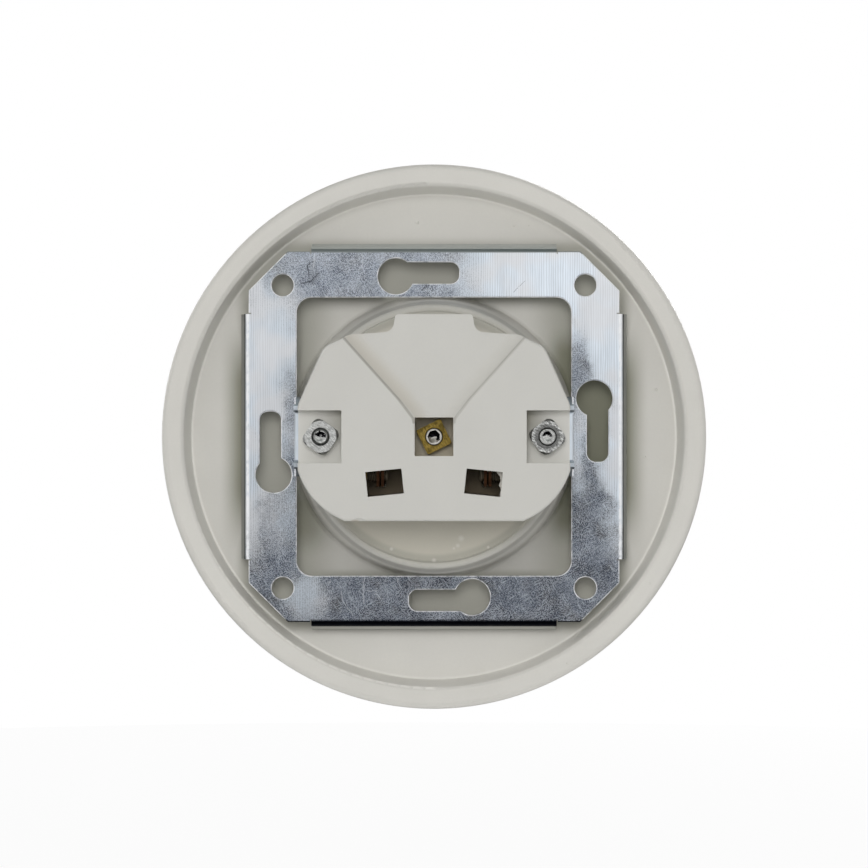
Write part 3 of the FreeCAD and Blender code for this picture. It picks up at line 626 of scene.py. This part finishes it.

# Paints of the frame, with a painted highlight on the edges and painted reflections on the folds
RIB_SPACING = 0.43  # fine ribs left in the sheet by the rolls (millimetres)
FLECK_LAYS = (32.0, 118.0)  # degrees
WARM_ZINC = (0.78, 0.765, 0.765)
BROWN_ZINC = (0.20, 0.19, 0.17)
BLUE_ZINC = (0.26, 0.32, 0.42)
LIGHT_SCRATCH, DARK_SCRATCH = (0.75, 0.78, 0.82), (0.06, 0.065, 0.08)
EDGE_HIGHLIGHT = (0.90, 0.91, 0.93)
FOLD_TOP_REFLECTION, FOLD_CREST_REFLECTION = (0.34, 0.36, 0.36), (0.42, 0.44, 0.42)
FOLD_SIDE_REFLECTION, FLANGE_SIDE_REFLECTION = (0.09, 0.10, 0.11), (0.30, 0.31, 0.305)
FOLD_UNDER_REFLECTION, FLANGE_UNDER_REFLECTION = (0.012, 0.014, 0.022), (0.55, 0.56, 0.54)


def zone_masks(tree, point, zones):
    """Masks of flat zones, times their weights."""
    for x, z, reach_x, reach_z, weight in zones:
        yield times(tree, spot_mask(tree, point, (x, 0.0, z), (reach_x, NO_LIMIT, reach_z)), weight)


def rolled_and_lit_zinc(tree, settings, point, x, sheen):
    """Bright zinc, lighter toward -x as a painted reflection, with soft streaks and warm patches."""
    # Painted reflection: lighter toward -x
    bright = blend(
        tree, (x, 8.0, -22.0), solid(settings.bright_colour), tinted(settings.bright_colour, 1.13))
    bright = toned(tree, bright, fade(tree, sheen, 0.20, 0.80, 0.82, 1.12))
    return painted(tree, bright, WARM_ZINC, (noise(tree, point, 0.11), 0.42, 0.62, 0.0, 0.55))


def spangled_zinc(tree, settings, point, z, spangle):
    """Dull zinc: fine grain with light flecks and hairlines, in larger bluish and brownish blotches."""
    blotch = minus(tree, noise(tree, point, 0.26, 3.0, 0.6), 0.5)
    # Painted reflection: fewer light grains toward the bottom, more toward the top
    grains = total(tree, (spangle, 0.42, 0.59, 0.0, 0.85), (z, -34.0, 30.0, -0.10, 0.20))
    grains = calc(tree, "MULTIPLY_ADD", blotch, 1.3, grains, clamp=True)
    dull = blend(tree, grains, solid(settings.dark_colour), solid(settings.dull_colour))
    dull = painted(tree, dull, BROWN_ZINC, (noise(tree, point, 0.19), 0.52, 0.66, 0.0, 0.3))
    bluish = fade(tree, noise(tree, point, 0.16, 2.0, 0.6), 0.58, 0.40, 0.0, 0.20)
    dull = painted(tree, dull, BLUE_ZINC, bluish)
    flecks = fade(tree, noise(tree, point, 5.2, 0.0), 0.64, 0.74)
    for lay in FLECK_LAYS:
        turned = laid(tree, point, lay, (0.16, 1.0, 2.6))
        flecks = most(tree, flecks, (noise(tree, turned, 1.0, 0.0), 0.67, 0.77))
    return painted(tree, dull, settings.bright_colour, flecks, 0.6)


def frame_zinc(settings):
    """Zinc-plated sheet: streaky where rolled bright, spangled and duller elsewhere, with painted
    reflections.
    """
    material, tree = blank_material("frame_zinc")
    point = point_mm(tree)
    x, y, z = parts_of(tree, point)
    wide, high = size_of(tree, x), size_of(tree, z)
    bent = vector_calc(tree, "ADD", scaled(tree, point, FLAT), drift(tree, point, 0.22, 3.0, 6.0))
    rolled_and_lit = most(tree, 0.0, *zone_masks(tree, bent, ROLLED_AND_REFLECTED_ZONES))
    rolled_and_lit = minus(tree, rolled_and_lit, *zone_masks(tree, bent, DULL_STREAKS))

    # Fine ribs run down the sheet, with broad soft streaks
    waver = noise(tree, scaled(tree, point, (0.6, 0.5, 0.08)), 1.0, 2.0, 0.6)
    ribs = calc(tree, "MULTIPLY_ADD", x, FULL_TURN / RIB_SPACING, times(tree, waver, 9.0))
    ribs = calc(tree, "MULTIPLY_ADD", calc(tree, "SINE", ribs), (rolled_and_lit, 0.55, 1.0, 0.08, 0.42), 0.5)
    streak = noise(tree, scaled(tree, point, (0.35, 0.5, 0.10)), 1.0, 3.0, 0.6)
    sheen = total(tree, times(tree, ribs, 0.40), times(tree, streak, 0.60))
    spangle = total(
        tree, times(tree, noise(tree, point, 5.6, 1.0, 0.6), 0.6),
        times(tree, noise(tree, point, 2.3, 3.0, 0.75), 0.4))
    ragged = total(
        tree, rolled_and_lit, times(tree, minus(tree, spangle, 0.5), 0.9), times(tree, minus(tree, ribs, 0.5), 0.5))
    colour = blend(
        tree, (ragged, 0.05, 0.85), spangled_zinc(tree, settings, point, z, spangle),
        rolled_and_lit_zinc(tree, settings, point, x, sheen))
    for *line, width, light in SCRATCHES:
        ink, strength = (LIGHT_SCRATCH, 0.45) if light else (DARK_SCRATCH, 0.65)
        colour = painted(tree, colour, ink, line_mask(tree, "scratch", point, line, width), strength)

    # Painted highlight on the punched edges around the rear face
    across, outward, upward = normal_parts(tree)
    edge_highlight = times(
        tree, (outward, 0.985, 0.93), (outward, 0.05, 0.30), (y, 0.4, 0.1),
        (high, FOLD_LINE + 0.1, FOLD_LINE - 0.1), (wide, SIDE_FOLD, SIDE_FOLD - 0.3),
        (noise(tree, point, 0.9), 0.35, 0.60, 0.45, 1.0))
    colour = painted(tree, colour, EDGE_HIGHLIGHT, edge_highlight)
    # Painted reflections on the folds: grey at the top, dark around the side flanges, nearly black at the
    # bottom
    fold = fade(tree, high, FOLD_LINE - 0.05, FOLD_LINE + 0.1)
    crest = times(tree, fold, (upward, 0.62, 0.72))
    side_on = size_of(tree, across)
    sides = times(tree, (wide, SIDE_FOLD - 0.4, SIDE_FOLD), (side_on, 0.72, 0.88))
    under = times(tree, fold, (upward, -0.03, -0.30))
    colour = layered(
        tree, colour, (FOLD_TOP_REFLECTION, fold, (upward, 0.10, 0.25)), (FOLD_CREST_REFLECTION, crest), (FOLD_SIDE_REFLECTION, sides),
        (FLANGE_SIDE_REFLECTION, sides, (side_on, 0.94, 0.96)), (FOLD_UNDER_REFLECTION, under),
        (FLANGE_UNDER_REFLECTION, under, (upward, -0.94, -0.96)))
    # The hangers are plain bright zinc
    plain = toned(tree, solid(settings.bright_colour), fade(tree, streak, 0.3, 0.7, 0.80, 1.05))
    colour = blend(tree, (y, 1.0, 4.0), colour, plain)
    height = total(tree, times(tree, spangle, 0.6), times(tree, ribs, 0.3))
    shine = calc(tree, "MULTIPLY_ADD", most(tree, edge_highlight, crest), -0.85, 1.0)
    coat(tree, colour, calc(tree, "MULTIPLY_ADD", rolled_and_lit, -0.10, 0.46), (height, 0.03 * MM, 0.30), shine)
    return material


SHADE_RING_RADIUS = 1.75  # middle of the ring of painted shade around a screw (millimetres)
TARNISH_AND_SHADE = 0.16  # tarnish and painted shade as a share of the clean colour
# Zinc of the terminal screws, with dust and painted shade of the wire entries
DUSTY_AND_SHADED_ZINC = (0.215, 0.180, 0.130)
# Black of the pits in the screws' ends: a painted dark reflection
PIT_REFLECTION_BLACK = (0.014, 0.013, 0.016)


def worn_metal(name, colour, roughness, wear, dirt, lay, bevel_shade=0.0, shade_ring=None, shine=1.0):
    """Small metal parts: fine scuffs laid at an angle, patches of tarnish, and bevels darkened as painted
    shade.

    A shade ring is the x and z of a nut's middle, in millimetres, with a ring of painted shade around the
    screw there.
    """
    material, tree = blank_material(name)
    point = point_mm(tree)
    scuff = noise(tree, laid(tree, point, lay, (0.22, 0.6, 0.8)), 1.0, 2.0, 0.6)
    patch = noise(tree, point, 0.9, 2.0, 0.6)
    tint = blend(tree, (scuff, 0.34, 0.66), tinted(colour, 1.0 - wear), tinted(colour, 1.0 + wear))
    outward = normal_parts(tree)[1]
    # Sloping bevels are darkened as painted shade
    slope_shade = times(tree, (outward, 0.96, 0.86), (outward, -0.2, 0.1), bevel_shade)
    tarnish_and_shade = most(tree, times(tree, (patch, 0.46, 0.66), dirt), slope_shade)
    if shade_ring:
        away = scaled(tree, vector_calc(tree, "SUBTRACT", point, (shade_ring[0], 0.0, shade_ring[1])), FLAT)
        band = size_of(tree, minus(tree, vector_calc(tree, "LENGTH", away), SHADE_RING_RADIUS))
        ragged = calc(tree, "MULTIPLY_ADD", noise(tree, point, 3.2, 2.0, 0.7), 1.6, band)
        tarnish_and_shade = most(tree, tarnish_and_shade, (ragged, 1.58, 1.12, 0.0, 0.78))
    rough = fade(tree, scuff, 0.3, 0.7, roughness - 0.06, roughness + 0.08)
    tint = painted(tree, tint, tinted(colour, TARNISH_AND_SHADE), tarnish_and_shade)
    coat(tree, tint, rough, (total(tree, scuff, patch), 0.02 * MM, 0.35), shine)
    return material


def pit_reflection_black():
    """Black of broken metal in the end of a screw: a painted dark reflection, as if it mirrored only the
    dark.
    """
    return bpy.data.materials.get("screw_pit_reflection") or worn_metal("screw_pit_reflection", PIT_REFLECTION_BLACK, 0.35, 0.4, 0.3, 40.0)


def passed(tree, kind, geometry, *inputs):
    """Geometry passed through one more node."""
    return add(tree, kind, (("Geometry", geometry),) + inputs).outputs[0]


def thread_tree():
    """Threaded shank along +Y: a grid rolled into a tube whose radius follows the helix."""
    sockets = dict(
        Radius="Float", Depth="Float", Pitch="Float", Length="Float", Around="Int", Rows="Int",
        Finish="Material")
    tree, given, result = new_group(
        "threaded_shank", sockets, dict(Geometry="Geometry"), "GeometryNodeTree")
    inputs = (("Size X", 1.0), ("Size Y", 1.0), ("Vertices X", given["Around"]),
              ("Vertices Y", given["Rows"]))
    grid = add(tree, "GeometryNodeMeshGrid", inputs)
    u, v, _ = parts_of(tree, add(tree, "GeometryNodeInputPosition").outputs[0])
    u = total(tree, u, 0.5)
    height = times(tree, total(tree, v, 0.5), given["Length"])
    turns = ratio(tree, height, given["Pitch"])
    left = ratio(tree, minus(tree, given["Length"], height), given["Pitch"])
    ridge = times(tree, calc(tree, "PINGPONG", minus(tree, turns, u), 0.5), 2.0)
    crest = times(tree, least(tree, times(tree, ridge, 1.15), 1.0), least(tree, turns, left, 1.0))
    radius = minus(tree, given["Radius"], times(tree, given["Depth"], minus(tree, 1.0, crest)))
    angle = times(tree, u, FULL_TURN)
    place = vector_of(
        tree, times(tree, radius, calc(tree, "COSINE", angle)), height,
        times(tree, radius, calc(tree, "SINE", angle)))
    tube = passed(tree, "GeometryNodeSetPosition", grid.outputs["Mesh"], ("Position", place))
    tube = passed(tree, "GeometryNodeMergeByDistance", tube, ("Distance", WELD))
    tube = passed(tree, "GeometryNodeRealizeInstances", tube)
    feed(tree, result[0], passed(tree, "GeometryNodeSetMaterial", tube, ("Material", given["Finish"])))
    return tree


def pimple_tree():
    """Small flat pimples scattered over the faces of the carrier mesh."""
    sockets = dict(Geometry="Geometry", Density="Float", Size="Float", Seed="Int", Finish="Material")
    tree, given, result = new_group("glaze_pimples", sockets, dict(Geometry="Geometry"), "GeometryNodeTree")
    inputs = (("Mesh", given["Geometry"]), ("Density", given["Density"]), ("Seed", given["Seed"]))
    points = add(tree, "GeometryNodeDistributePointsOnFaces", inputs)
    ball = add(tree, "GeometryNodeMeshIcoSphere", (("Radius", 1.0), ("Subdivisions", 3)))
    size = add(tree, "FunctionNodeRandomValue", (("Seed", given["Seed"]),), data_type="FLOAT")
    size.inputs[2].default_value, size.inputs[3].default_value = SMALLEST_PIMPLE, 1.0
    wide = times(tree, size.outputs[1], given["Size"])
    flat = vector_of(tree, wide, times(tree, wide, PIMPLE_RISE), wide)
    inputs = (("Points", points.outputs["Points"]), ("Instance", ball.outputs["Mesh"]), ("Scale", flat))
    copies = add(tree, "GeometryNodeInstanceOnPoints", inputs).outputs[0]
    copies = passed(tree, "GeometryNodeRealizeInstances", copies)
    copies = passed(tree, "GeometryNodeSetShadeSmooth", copies)
    feed(tree, result[0], passed(tree, "GeometryNodeSetMaterial", copies, ("Material", given["Finish"])))
    return tree


def linked(name, data):
    """New object in the scene."""
    made = bpy.data.objects.new(name, data)
    bpy.context.scene.collection.objects.link(made)
    return made


def mesh_of(shape, name):
    """Turn a bmesh into a mesh, and free it."""
    mesh = bpy.data.meshes.new(name)
    shape.to_mesh(mesh)
    shape.free()
    return mesh


def modified_mesh(thing):
    """Plain mesh of an object with its modifiers applied."""
    bpy.context.view_layer.update()
    return bpy.data.meshes.new_from_object(thing.evaluated_get(bpy.context.evaluated_depsgraph_get()))


def grown_mesh(name, carrier, tree, values):
    """Run a geometry tree on a carrier mesh and return the result as a plain mesh."""
    holder = linked(name + "_holder", carrier)
    modifier = holder.modifiers.new("grow", "NODES")
    modifier.node_group = tree
    for socket in tree.interface.items_tree:
        if socket.in_out == "INPUT" and socket.name in values:
            modifier[socket.identifier] = values[socket.name]
    holder.update_tag()
    mesh = modified_mesh(holder)
    mesh.name = name
    bpy.data.objects.remove(holder)
    return mesh


def new_piece(name, mesh, slot, *nodes):
    """Make a finished piece that rides on the socket and stands for CAD nodes, if any are named."""
    piece = linked(name, mesh)
    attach(piece, "root")
    if nodes:
        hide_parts(*nodes)
    return piece


def ring_of(shape, radius, y, steps):
    """Ring of points around the Y axis, or a single point where the radius is 0."""
    if radius == 0.0:
        return [shape.verts.new((0.0, y, 0.0))]
    angles = [FULL_TURN * step / steps for step in range(steps)]
    return [shape.verts.new((radius * math.cos(angle), y, radius * math.sin(angle))) for angle in angles]


def join_rings(shape, first, second, steps):
    for step in range(steps):
        after = (step + 1) % steps
        if len(first) == 1:
            shape.faces.new((first[0], second[step], second[after]))
        elif len(second) == 1:
            shape.faces.new((first[step], second[0], first[after]))
        else:
            shape.faces.new((first[step], second[step], second[after], first[after]))


def lathe(shape, profile):
    """Turn a profile of (radius, y) points around the Y axis."""
    rings = [ring_of(shape, radius, y, AROUND) for radius, y in profile]
    for first, second in zip(rings, rings[1:]):
        join_rings(shape, first, second, AROUND)
    return rings


def cut_slot(mesh, head_radius, head_height, width, turn):
    """Cut the screwdriver slot across a head that stands in front of y = 0."""
    block = bmesh.new()
    bmesh.ops.create_cube(block, size=1.0)
    bmesh.ops.scale(block, vec=(width, head_height * 1.2, head_radius * 2.6), verts=block.verts)
    bmesh.ops.translate(block, vec=(0.0, -head_height * 1.05, 0.0), verts=block.verts)
    bmesh.ops.rotate(block, matrix=Matrix.Rotation(turn, 3, "Y"), verts=block.verts)
    body, tool = linked("screw_body", mesh), linked("slot_tool", mesh_of(block, "slot_cutter"))
    modifier = body.modifiers.new("slot", "BOOLEAN")
    modifier.object = tool
    modifier.operation = "DIFFERENCE"
    modifier.solver = "EXACT"
    result = modified_mesh(body)
    for thing in (body, tool):
        bpy.data.objects.remove(thing)
    return result


class ScrewEnd:
    """How a screw's end looks: the flat ring, the pit broken out of it, and the draws for the pit's faces.

    The pit is painted black above a level, as a dark reflection; the level goes from -1 at its lower edge to
    1 at its upper edge.
    """

    def __init__(self, ring, pit_radius, pit_depth, level, seed):
        self.ring, self.pit_radius, self.pit_depth = ring * MM, pit_radius * MM, pit_depth * MM
        self.level = level
        self.dice = random.Random(seed)

    def blacken(self, mesh, length):
        """Give the pit's faces above the level the mesh's second material, a painted dark reflection, and
        leave the pit's faces flat.
        """
        rows = len(PIT_RINGS)
        shifts = [[self.dice.uniform(-0.35, 0.35) for _ in range(PIT_CORNERS)] for _ in range(rows)]
        for face in mesh.polygons:
            x, y, z = face.center
            reach = math.hypot(x, z) / self.pit_radius
            in_pit = y > length - 1.1 * self.pit_depth and reach < 0.97
            turn = math.atan2(z, x) / FULL_TURN % 1.0
            shift = shifts[min(int(rows * reach), rows - 1)][int(turn * PIT_CORNERS) % PIT_CORNERS]
            face.use_smooth = not in_pit
            face.material_index = 1 if in_pit and z / self.pit_radius + shift > self.level else 0

    def break_out(self, ring, radius, depth, top, shake):
        """Move a ring of the pit onto an uneven polygon with a few flat sides."""
        corners = []
        for corner in range(PIT_CORNERS):
            angle = FULL_TURN * corner / PIT_CORNERS
            reach = radius * (1.0 + shake * self.dice.uniform(-1.0, 1.0))
            sunk = depth * (1.0 + shake * self.dice.uniform(-1.0, 1.0))
            corners.append(Vector((reach * math.cos(angle), top - sunk, reach * math.sin(angle))))
        for step, vert in enumerate(ring):
            place = PIT_CORNERS * step / AROUND
            first = int(place)
            vert.co = corners[first].lerp(corners[(first + 1) % PIT_CORNERS], place - first)


def screw_mesh(name, tree, finish, settings, shank_radius, head_radius, head_height, length, end, turn):
    """Slotted screw along +Y: the head's seat is at y = 0 and the broken end at y = length."""
    pitch, depth = settings.thread_pitch, settings.thread_depth
    root, crest = shank_radius - depth, shank_radius - POINT_INSET
    shank = length - POINT_LENGTH
    values = {"Radius": shank_radius, "Depth": depth, "Pitch": pitch, "Length": shank, "Around": AROUND + 1,
              "Rows": int(shank / pitch * ROWS_PER_TURN) + 1, "Finish": finish}
    shape = bmesh.new()
    shape.from_mesh(grown_mesh(name + "_thread", bpy.data.meshes.new(name + "_seed"), tree, values))
    head = [(head_radius * share, -head_height * rise) for share, rise in HEAD_PROFILE]
    lathe(shape, head + [(root, 0.0)])
    pit, sunk = end.pit_radius, end.pit_depth
    point = [(root, shank), (crest, shank + POINT_STEP), (crest, length - (crest - end.ring)),
             (end.ring, length)]
    inside = [(pit * share, length - sunk * drop) for share, drop, _ in PIT_RINGS]
    rings = lathe(shape, point + inside + [(0.0, length - sunk)])
    for ring, (share, drop, shake) in zip(rings[len(point):], PIT_RINGS):
        end.break_out(ring, pit * share, sunk * drop, length, shake)
    bmesh.ops.remove_doubles(shape, verts=shape.verts, dist=WELD)
    bmesh.ops.recalc_face_normals(shape, faces=shape.faces)
    mesh = cut_slot(mesh_of(shape, name), head_radius, head_height, SLOT_WIDTH, turn)
    mesh.name = name
    mesh.materials.clear()
    for material in (finish, pit_reflection_black()):
        mesh.materials.append(material)
    end.blacken(mesh, length)
    mesh.set_sharp_from_angle(angle=SHARP)
    return mesh


def placed_screw(name, slot, tree, finish, settings, shank_radius, head_height, axis, turn):
    """Build a screw in the place of the CAD node of this name; axis points from head to end."""
    low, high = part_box(name)
    along = max(range(3), key=lambda i: abs(axis[i]))
    head_radius = max(high[i] - low[i] for i in range(3) if i != along) / 2
    length = high[along] - low[along] - head_height
    seat = (low + high) / 2
    seat[along] = low[along] + head_height if axis[along] > 0 else high[along] - head_height
    mesh = screw_mesh(
        name + "_cut", tree, finish, settings, shank_radius, head_radius, head_height, length,
        ScrewEnd(*SCREW_ENDS[name]), math.radians(turn))
    turn_to = Vector(TO_WALL).rotation_difference(Vector(axis)).to_matrix().to_4x4()
    mesh.transform(Matrix.Translation(seat) @ turn_to)
    return new_piece(name + "_threaded", mesh, slot, name)


class SOCKET_OT_stage(bpy.types.Operator):
    """Set up the camera, the lamps, the white surroundings and the floor."""
    bl_idname = "wall_socket.stage"
    bl_label = "Stage"

    def execute(self, context):
        scene, studio = context.scene, context.scene.socket_studio
        scene.view_settings.view_transform = "Standard"
        camera = bpy.data.cameras.new("camera")
        camera.sensor_width = 36.0
        camera.lens = camera.sensor_width * studio.camera_distance / studio.view_width
        camera.clip_start = 0.01
        scene.camera = linked("camera", camera)
        scene.camera.location = (0.0, studio.camera_distance, studio.view_lift)
        scene.camera.rotation_euler = (math.radians(90.0), 0.0, math.radians(180.0))
        self.lamps(studio)
        self.surroundings(scene, studio)
        self.floor(studio)
        self.flags(studio)
        return {"FINISHED"}

    def lamps(self, studio):
        for name, place, size, share in LAMPS:
            lamp = bpy.data.lights.new(name, "AREA")
            lamp.shape = "DISK"
            lamp.size = size
            lamp.energy = studio.lamp_power * share
            holder = linked(name, lamp)
            # The metal behind the wall plane mirrors the white room and the cards, not the lamps
            holder.visible_glossy = place[1] < 0.0
            holder.location = place
            holder.rotation_euler = Vector(place).to_track_quat("Z", "Y").to_euler()

    def surroundings(self, scene, studio):
        """White where it is seen or mirrored, and dimmer as a light."""
        world = bpy.data.worlds.new("white_room")
        world.use_nodes = True
        scene.world = world
        tree = world.node_tree
        tree.nodes.clear()
        path = tree.nodes.new("ShaderNodeLightPath").outputs
        seen = most(tree, path["Is Camera Ray"], path["Is Glossy Ray"], path["Is Transmission Ray"])
        level = calc(tree, "MULTIPLY_ADD", seen, 1.0 - studio.ambient, studio.ambient)
        light = add(tree, "ShaderNodeBackground", (("Color", WHITE), ("Strength", level)))
        tree.links.new(light.outputs[0], tree.nodes.new("ShaderNodeOutputWorld").inputs[0])

    def floor(self, studio):
        disc = bmesh.new()
        bmesh.ops.create_circle(disc, cap_ends=True, segments=96, radius=FLOOR_RADIUS)
        bmesh.ops.translate(disc, vec=(0.0, 0.0, -studio.floor_drop), verts=disc.verts)
        material, tree = blank_material("pale_floor")
        paper = add(tree, "ShaderNodeBsdfDiffuse", (("Color", solid(FLOOR_GREY)),))
        glow = add(tree, "ShaderNodeEmission", (("Color", WHITE), ("Strength", 1.0)))
        path = tree.nodes.new("ShaderNodeLightPath").outputs
        seen = most(tree, path["Is Camera Ray"], path["Is Glossy Ray"])
        mix = add(tree, "ShaderNodeMixShader", (("Fac", times(tree, seen, FLOOR_GLOW)),))
        tree.links.new(paper.outputs[0], mix.inputs[1])
        tree.links.new(glow.outputs[0], mix.inputs[2])
        show(tree, mix)
        floor = linked("floor", mesh_of(disc, "floor"))
        floor.data.materials.append(material)

    def flags(self, studio):
        """Dim cards above and below that only show as reflections in the metal."""
        low = FLAG_GAP - studio.floor_drop
        for name, z, colour in (("flag_above", FLAG_ABOVE, FLAG_PALE), ("flag_below", low, FLAG_DARK)):
            mesh = bpy.data.meshes.new(name)
            mesh.from_pydata([(x, y, z) for x, y in FLAG_CORNERS], [], [(0, 1, 2, 3)])
            material, tree = blank_material(name)
            show(tree, add(tree, "ShaderNodeEmission", (("Color", solid(colour)), ("Strength", 1.0))))
            mesh.materials.append(material)
            card = linked(name, mesh)
            card.visible_camera = False
            card.visible_diffuse = False
            card.visible_transmission = False
            card.visible_shadow = False


class SOCKET_OT_cover(bpy.types.Operator):
    """Glaze the cover and scatter a few pimples over its back."""
    bl_idname = "wall_socket.cover"
    bl_label = "Cover"

    def execute(self, context):
        ceramic = context.scene.socket_ceramic
        glaze = cover_glaze(ceramic)
        dress(glaze, "cover_plate")
        bands = bmesh.new()
        for inner, outer, y in PIMPLE_BANDS:
            rings = [ring_of(bands, radius, y, PIMPLE_STEPS) for radius in (inner, outer)]
            join_rings(bands, *rings, PIMPLE_STEPS)
        values = {"Density": PIMPLE_DENSITY, "Size": ceramic.pimple_size, "Seed": ceramic.pimple_seed,
                  "Finish": glaze}
        mesh = grown_mesh("glaze_pimples", mesh_of(bands, "plate_back"), pimple_tree(), values)
        new_piece("glaze_pimples", mesh, "cover_ceramic")
        return {"FINISHED"}


class SOCKET_OT_frame(bpy.types.Operator):
    """Finish the steel frame in zinc."""
    bl_idname = "wall_socket.frame"
    bl_label = "Mounting Frame"

    def execute(self, context):
        dress(frame_zinc(context.scene.socket_zinc), "mounting_frame")
        return {"FINISHED"}


class SOCKET_OT_base(bpy.types.Operator):
    """Finish the porcelain base, with a thin rag of glaze along the wall of one wire entry."""
    bl_idname = "wall_socket.base"
    bl_label = "Porcelain Base"

    def execute(self, context):
        porcelain = base_porcelain(context.scene.socket_ceramic)
        dress(porcelain, "socket_base")
        rag = bmesh.new()
        face = rag.faces.new([rag.verts.new((x * MM, RAG_Y * MM, z * MM)) for x, z in RAG_OUTLINE])
        grown = bmesh.ops.extrude_face_region(rag, geom=[face])
        moved = [item for item in grown["geom"] if isinstance(item, bmesh.types.BMVert)]
        bmesh.ops.translate(rag, vec=(0.0, -RAG_THICKNESS, 0.0), verts=moved)
        bmesh.ops.recalc_face_normals(rag, faces=rag.faces)
        mesh = mesh_of(rag, "glaze_rag")
        mesh.materials.append(porcelain)
        new_piece("glaze_rag", mesh, "base_porcelain")
        return {"FINISHED"}


class SOCKET_OT_contacts(bpy.types.Operator):
    """Finish the contacts, clamp plates and earth parts."""
    bl_idname = "wall_socket.contacts"
    bl_label = "Contacts and Earth"

    def execute(self, context):
        fittings = context.scene.socket_fittings
        # The copper is darkened as painted shade of the wire entries
        shaded_copper = worn_metal("contact_copper", fittings.shaded_copper_colour, 0.45, 0.20, 0.6, 0.0)
        brass = worn_metal("earth_brass", fittings.brass_colour, 0.34, 0.45, 0.55, 26.0, 0.6)
        nickel = worn_metal("earth_nickel", fittings.nickel_colour, 0.24, 0.10, 0.05, 0.0)
        dress(shaded_copper, "contact_left", "contact_right")
        dress(brass, "earth_nut", "clamp_plate_left", "clamp_plate_right")
        dress(nickel, "earth_bracket", "earth_screw")
        return {"FINISHED"}


class SOCKET_OT_fixings(bpy.types.Operator):
    """Cut threaded, slotted screws in the places of the plain ones, and finish the nuts."""
    bl_idname = "wall_socket.fixings"
    bl_label = "Screws and Nuts"

    def execute(self, context):
        fittings = context.scene.socket_fittings
        plating = context.scene.socket_zinc.fixing_colour
        zinc = worn_metal("fixing_zinc", plating, 0.34, 0.34, 0.30, 55.0, 0.50)
        low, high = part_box("base_nut_left")
        middle = (low + high) / 2 / MM
        # The left nut has a ring of painted shade around its screw
        ring_shaded = worn_metal("ring_shaded_zinc", plating, 0.34, 0.70, 0.55, 53.0, 0.70, (middle.x, middle.z))
        # The terminal screws are darkened with dust and painted shade of the wire entries
        dusty_and_shaded = worn_metal("dusty_and_shaded_zinc", DUSTY_AND_SHADED_ZINC, 0.50, 0.20, 0.3, 0.0, shine=0.25)
        nickel = bpy.data.materials["earth_nickel"]
        dress(zinc, "base_nut_right", "base_screw_left", "base_screw_right")
        dress(ring_shaded, "base_nut_left")
        dress(dusty_and_shaded, "terminal_screw_left", "terminal_screw_right")
        tree, thick, thin = thread_tree(), fittings.shank_radius, fittings.terminal_radius
        placed_screw("earth_screw", "earth_nickel", tree, nickel, fittings, thick, MAIN_HEAD, TO_WALL, 35)
        for name in ("base_screw_left", "base_screw_right"):
            placed_screw(name, "fixing_zinc", tree, zinc, fittings, thick, MAIN_HEAD, TO_WALL, 20)
        for name, way in (("terminal_screw_left", 1.0), ("terminal_screw_right", -1.0)):
            axis = (way, 0.0, 0.0)
            placed_screw(name, "fixing_zinc", tree, dusty_and_shaded, fittings, thin, TERMINAL_HEAD, axis, 70)
        return {"FINISHED"}


OPERATORS = (SOCKET_OT_stage, SOCKET_OT_cover, SOCKET_OT_frame, SOCKET_OT_base, SOCKET_OT_contacts,
             SOCKET_OT_fixings)


class SOCKET_PT_panel(bpy.types.Panel):
    """Lists the socket's pieces and their settings."""
    bl_label = "Wall Socket"
    bl_idname = "SOCKET_PT_panel"
    bl_space_type = "VIEW_3D"
    bl_region_type = "UI"
    bl_category = "Socket"

    def draw(self, context):
        for operator in OPERATORS:
            self.layout.operator(operator.bl_idname)
        for name in SETTINGS:
            settings = getattr(context.scene, name)
            box = self.layout.box()
            for field in settings.bl_rna.properties:
                if field.identifier not in ("rna_type", "name"):
                    box.prop(settings, field.identifier)


SETTINGS = {
    "socket_ceramic": CeramicSettings,
    "socket_zinc": ZincSettings,
    "socket_fittings": FittingSettings,
    "socket_studio": StudioSettings,
}


def register():
    for name, group in SETTINGS.items():
        bpy.utils.register_class(group)
        setattr(bpy.types.Scene, name, PointerProperty(type=group))
    for operator in OPERATORS:
        bpy.utils.register_class(operator)
    bpy.utils.register_class(SOCKET_PT_panel)


def unregister():
    bpy.utils.unregister_class(SOCKET_PT_panel)
    for operator in reversed(OPERATORS):
        bpy.utils.unregister_class(operator)
    for name, group in SETTINGS.items():
        delattr(bpy.types.Scene, name)
        bpy.utils.unregister_class(group)


def main():
    register()
    bpy.ops.wall_socket.stage()
    bpy.ops.wall_socket.cover()
    bpy.ops.wall_socket.frame()
    bpy.ops.wall_socket.base()
    bpy.ops.wall_socket.contacts()
    bpy.ops.wall_socket.fixings()


if __name__ == "__main__":
    main()
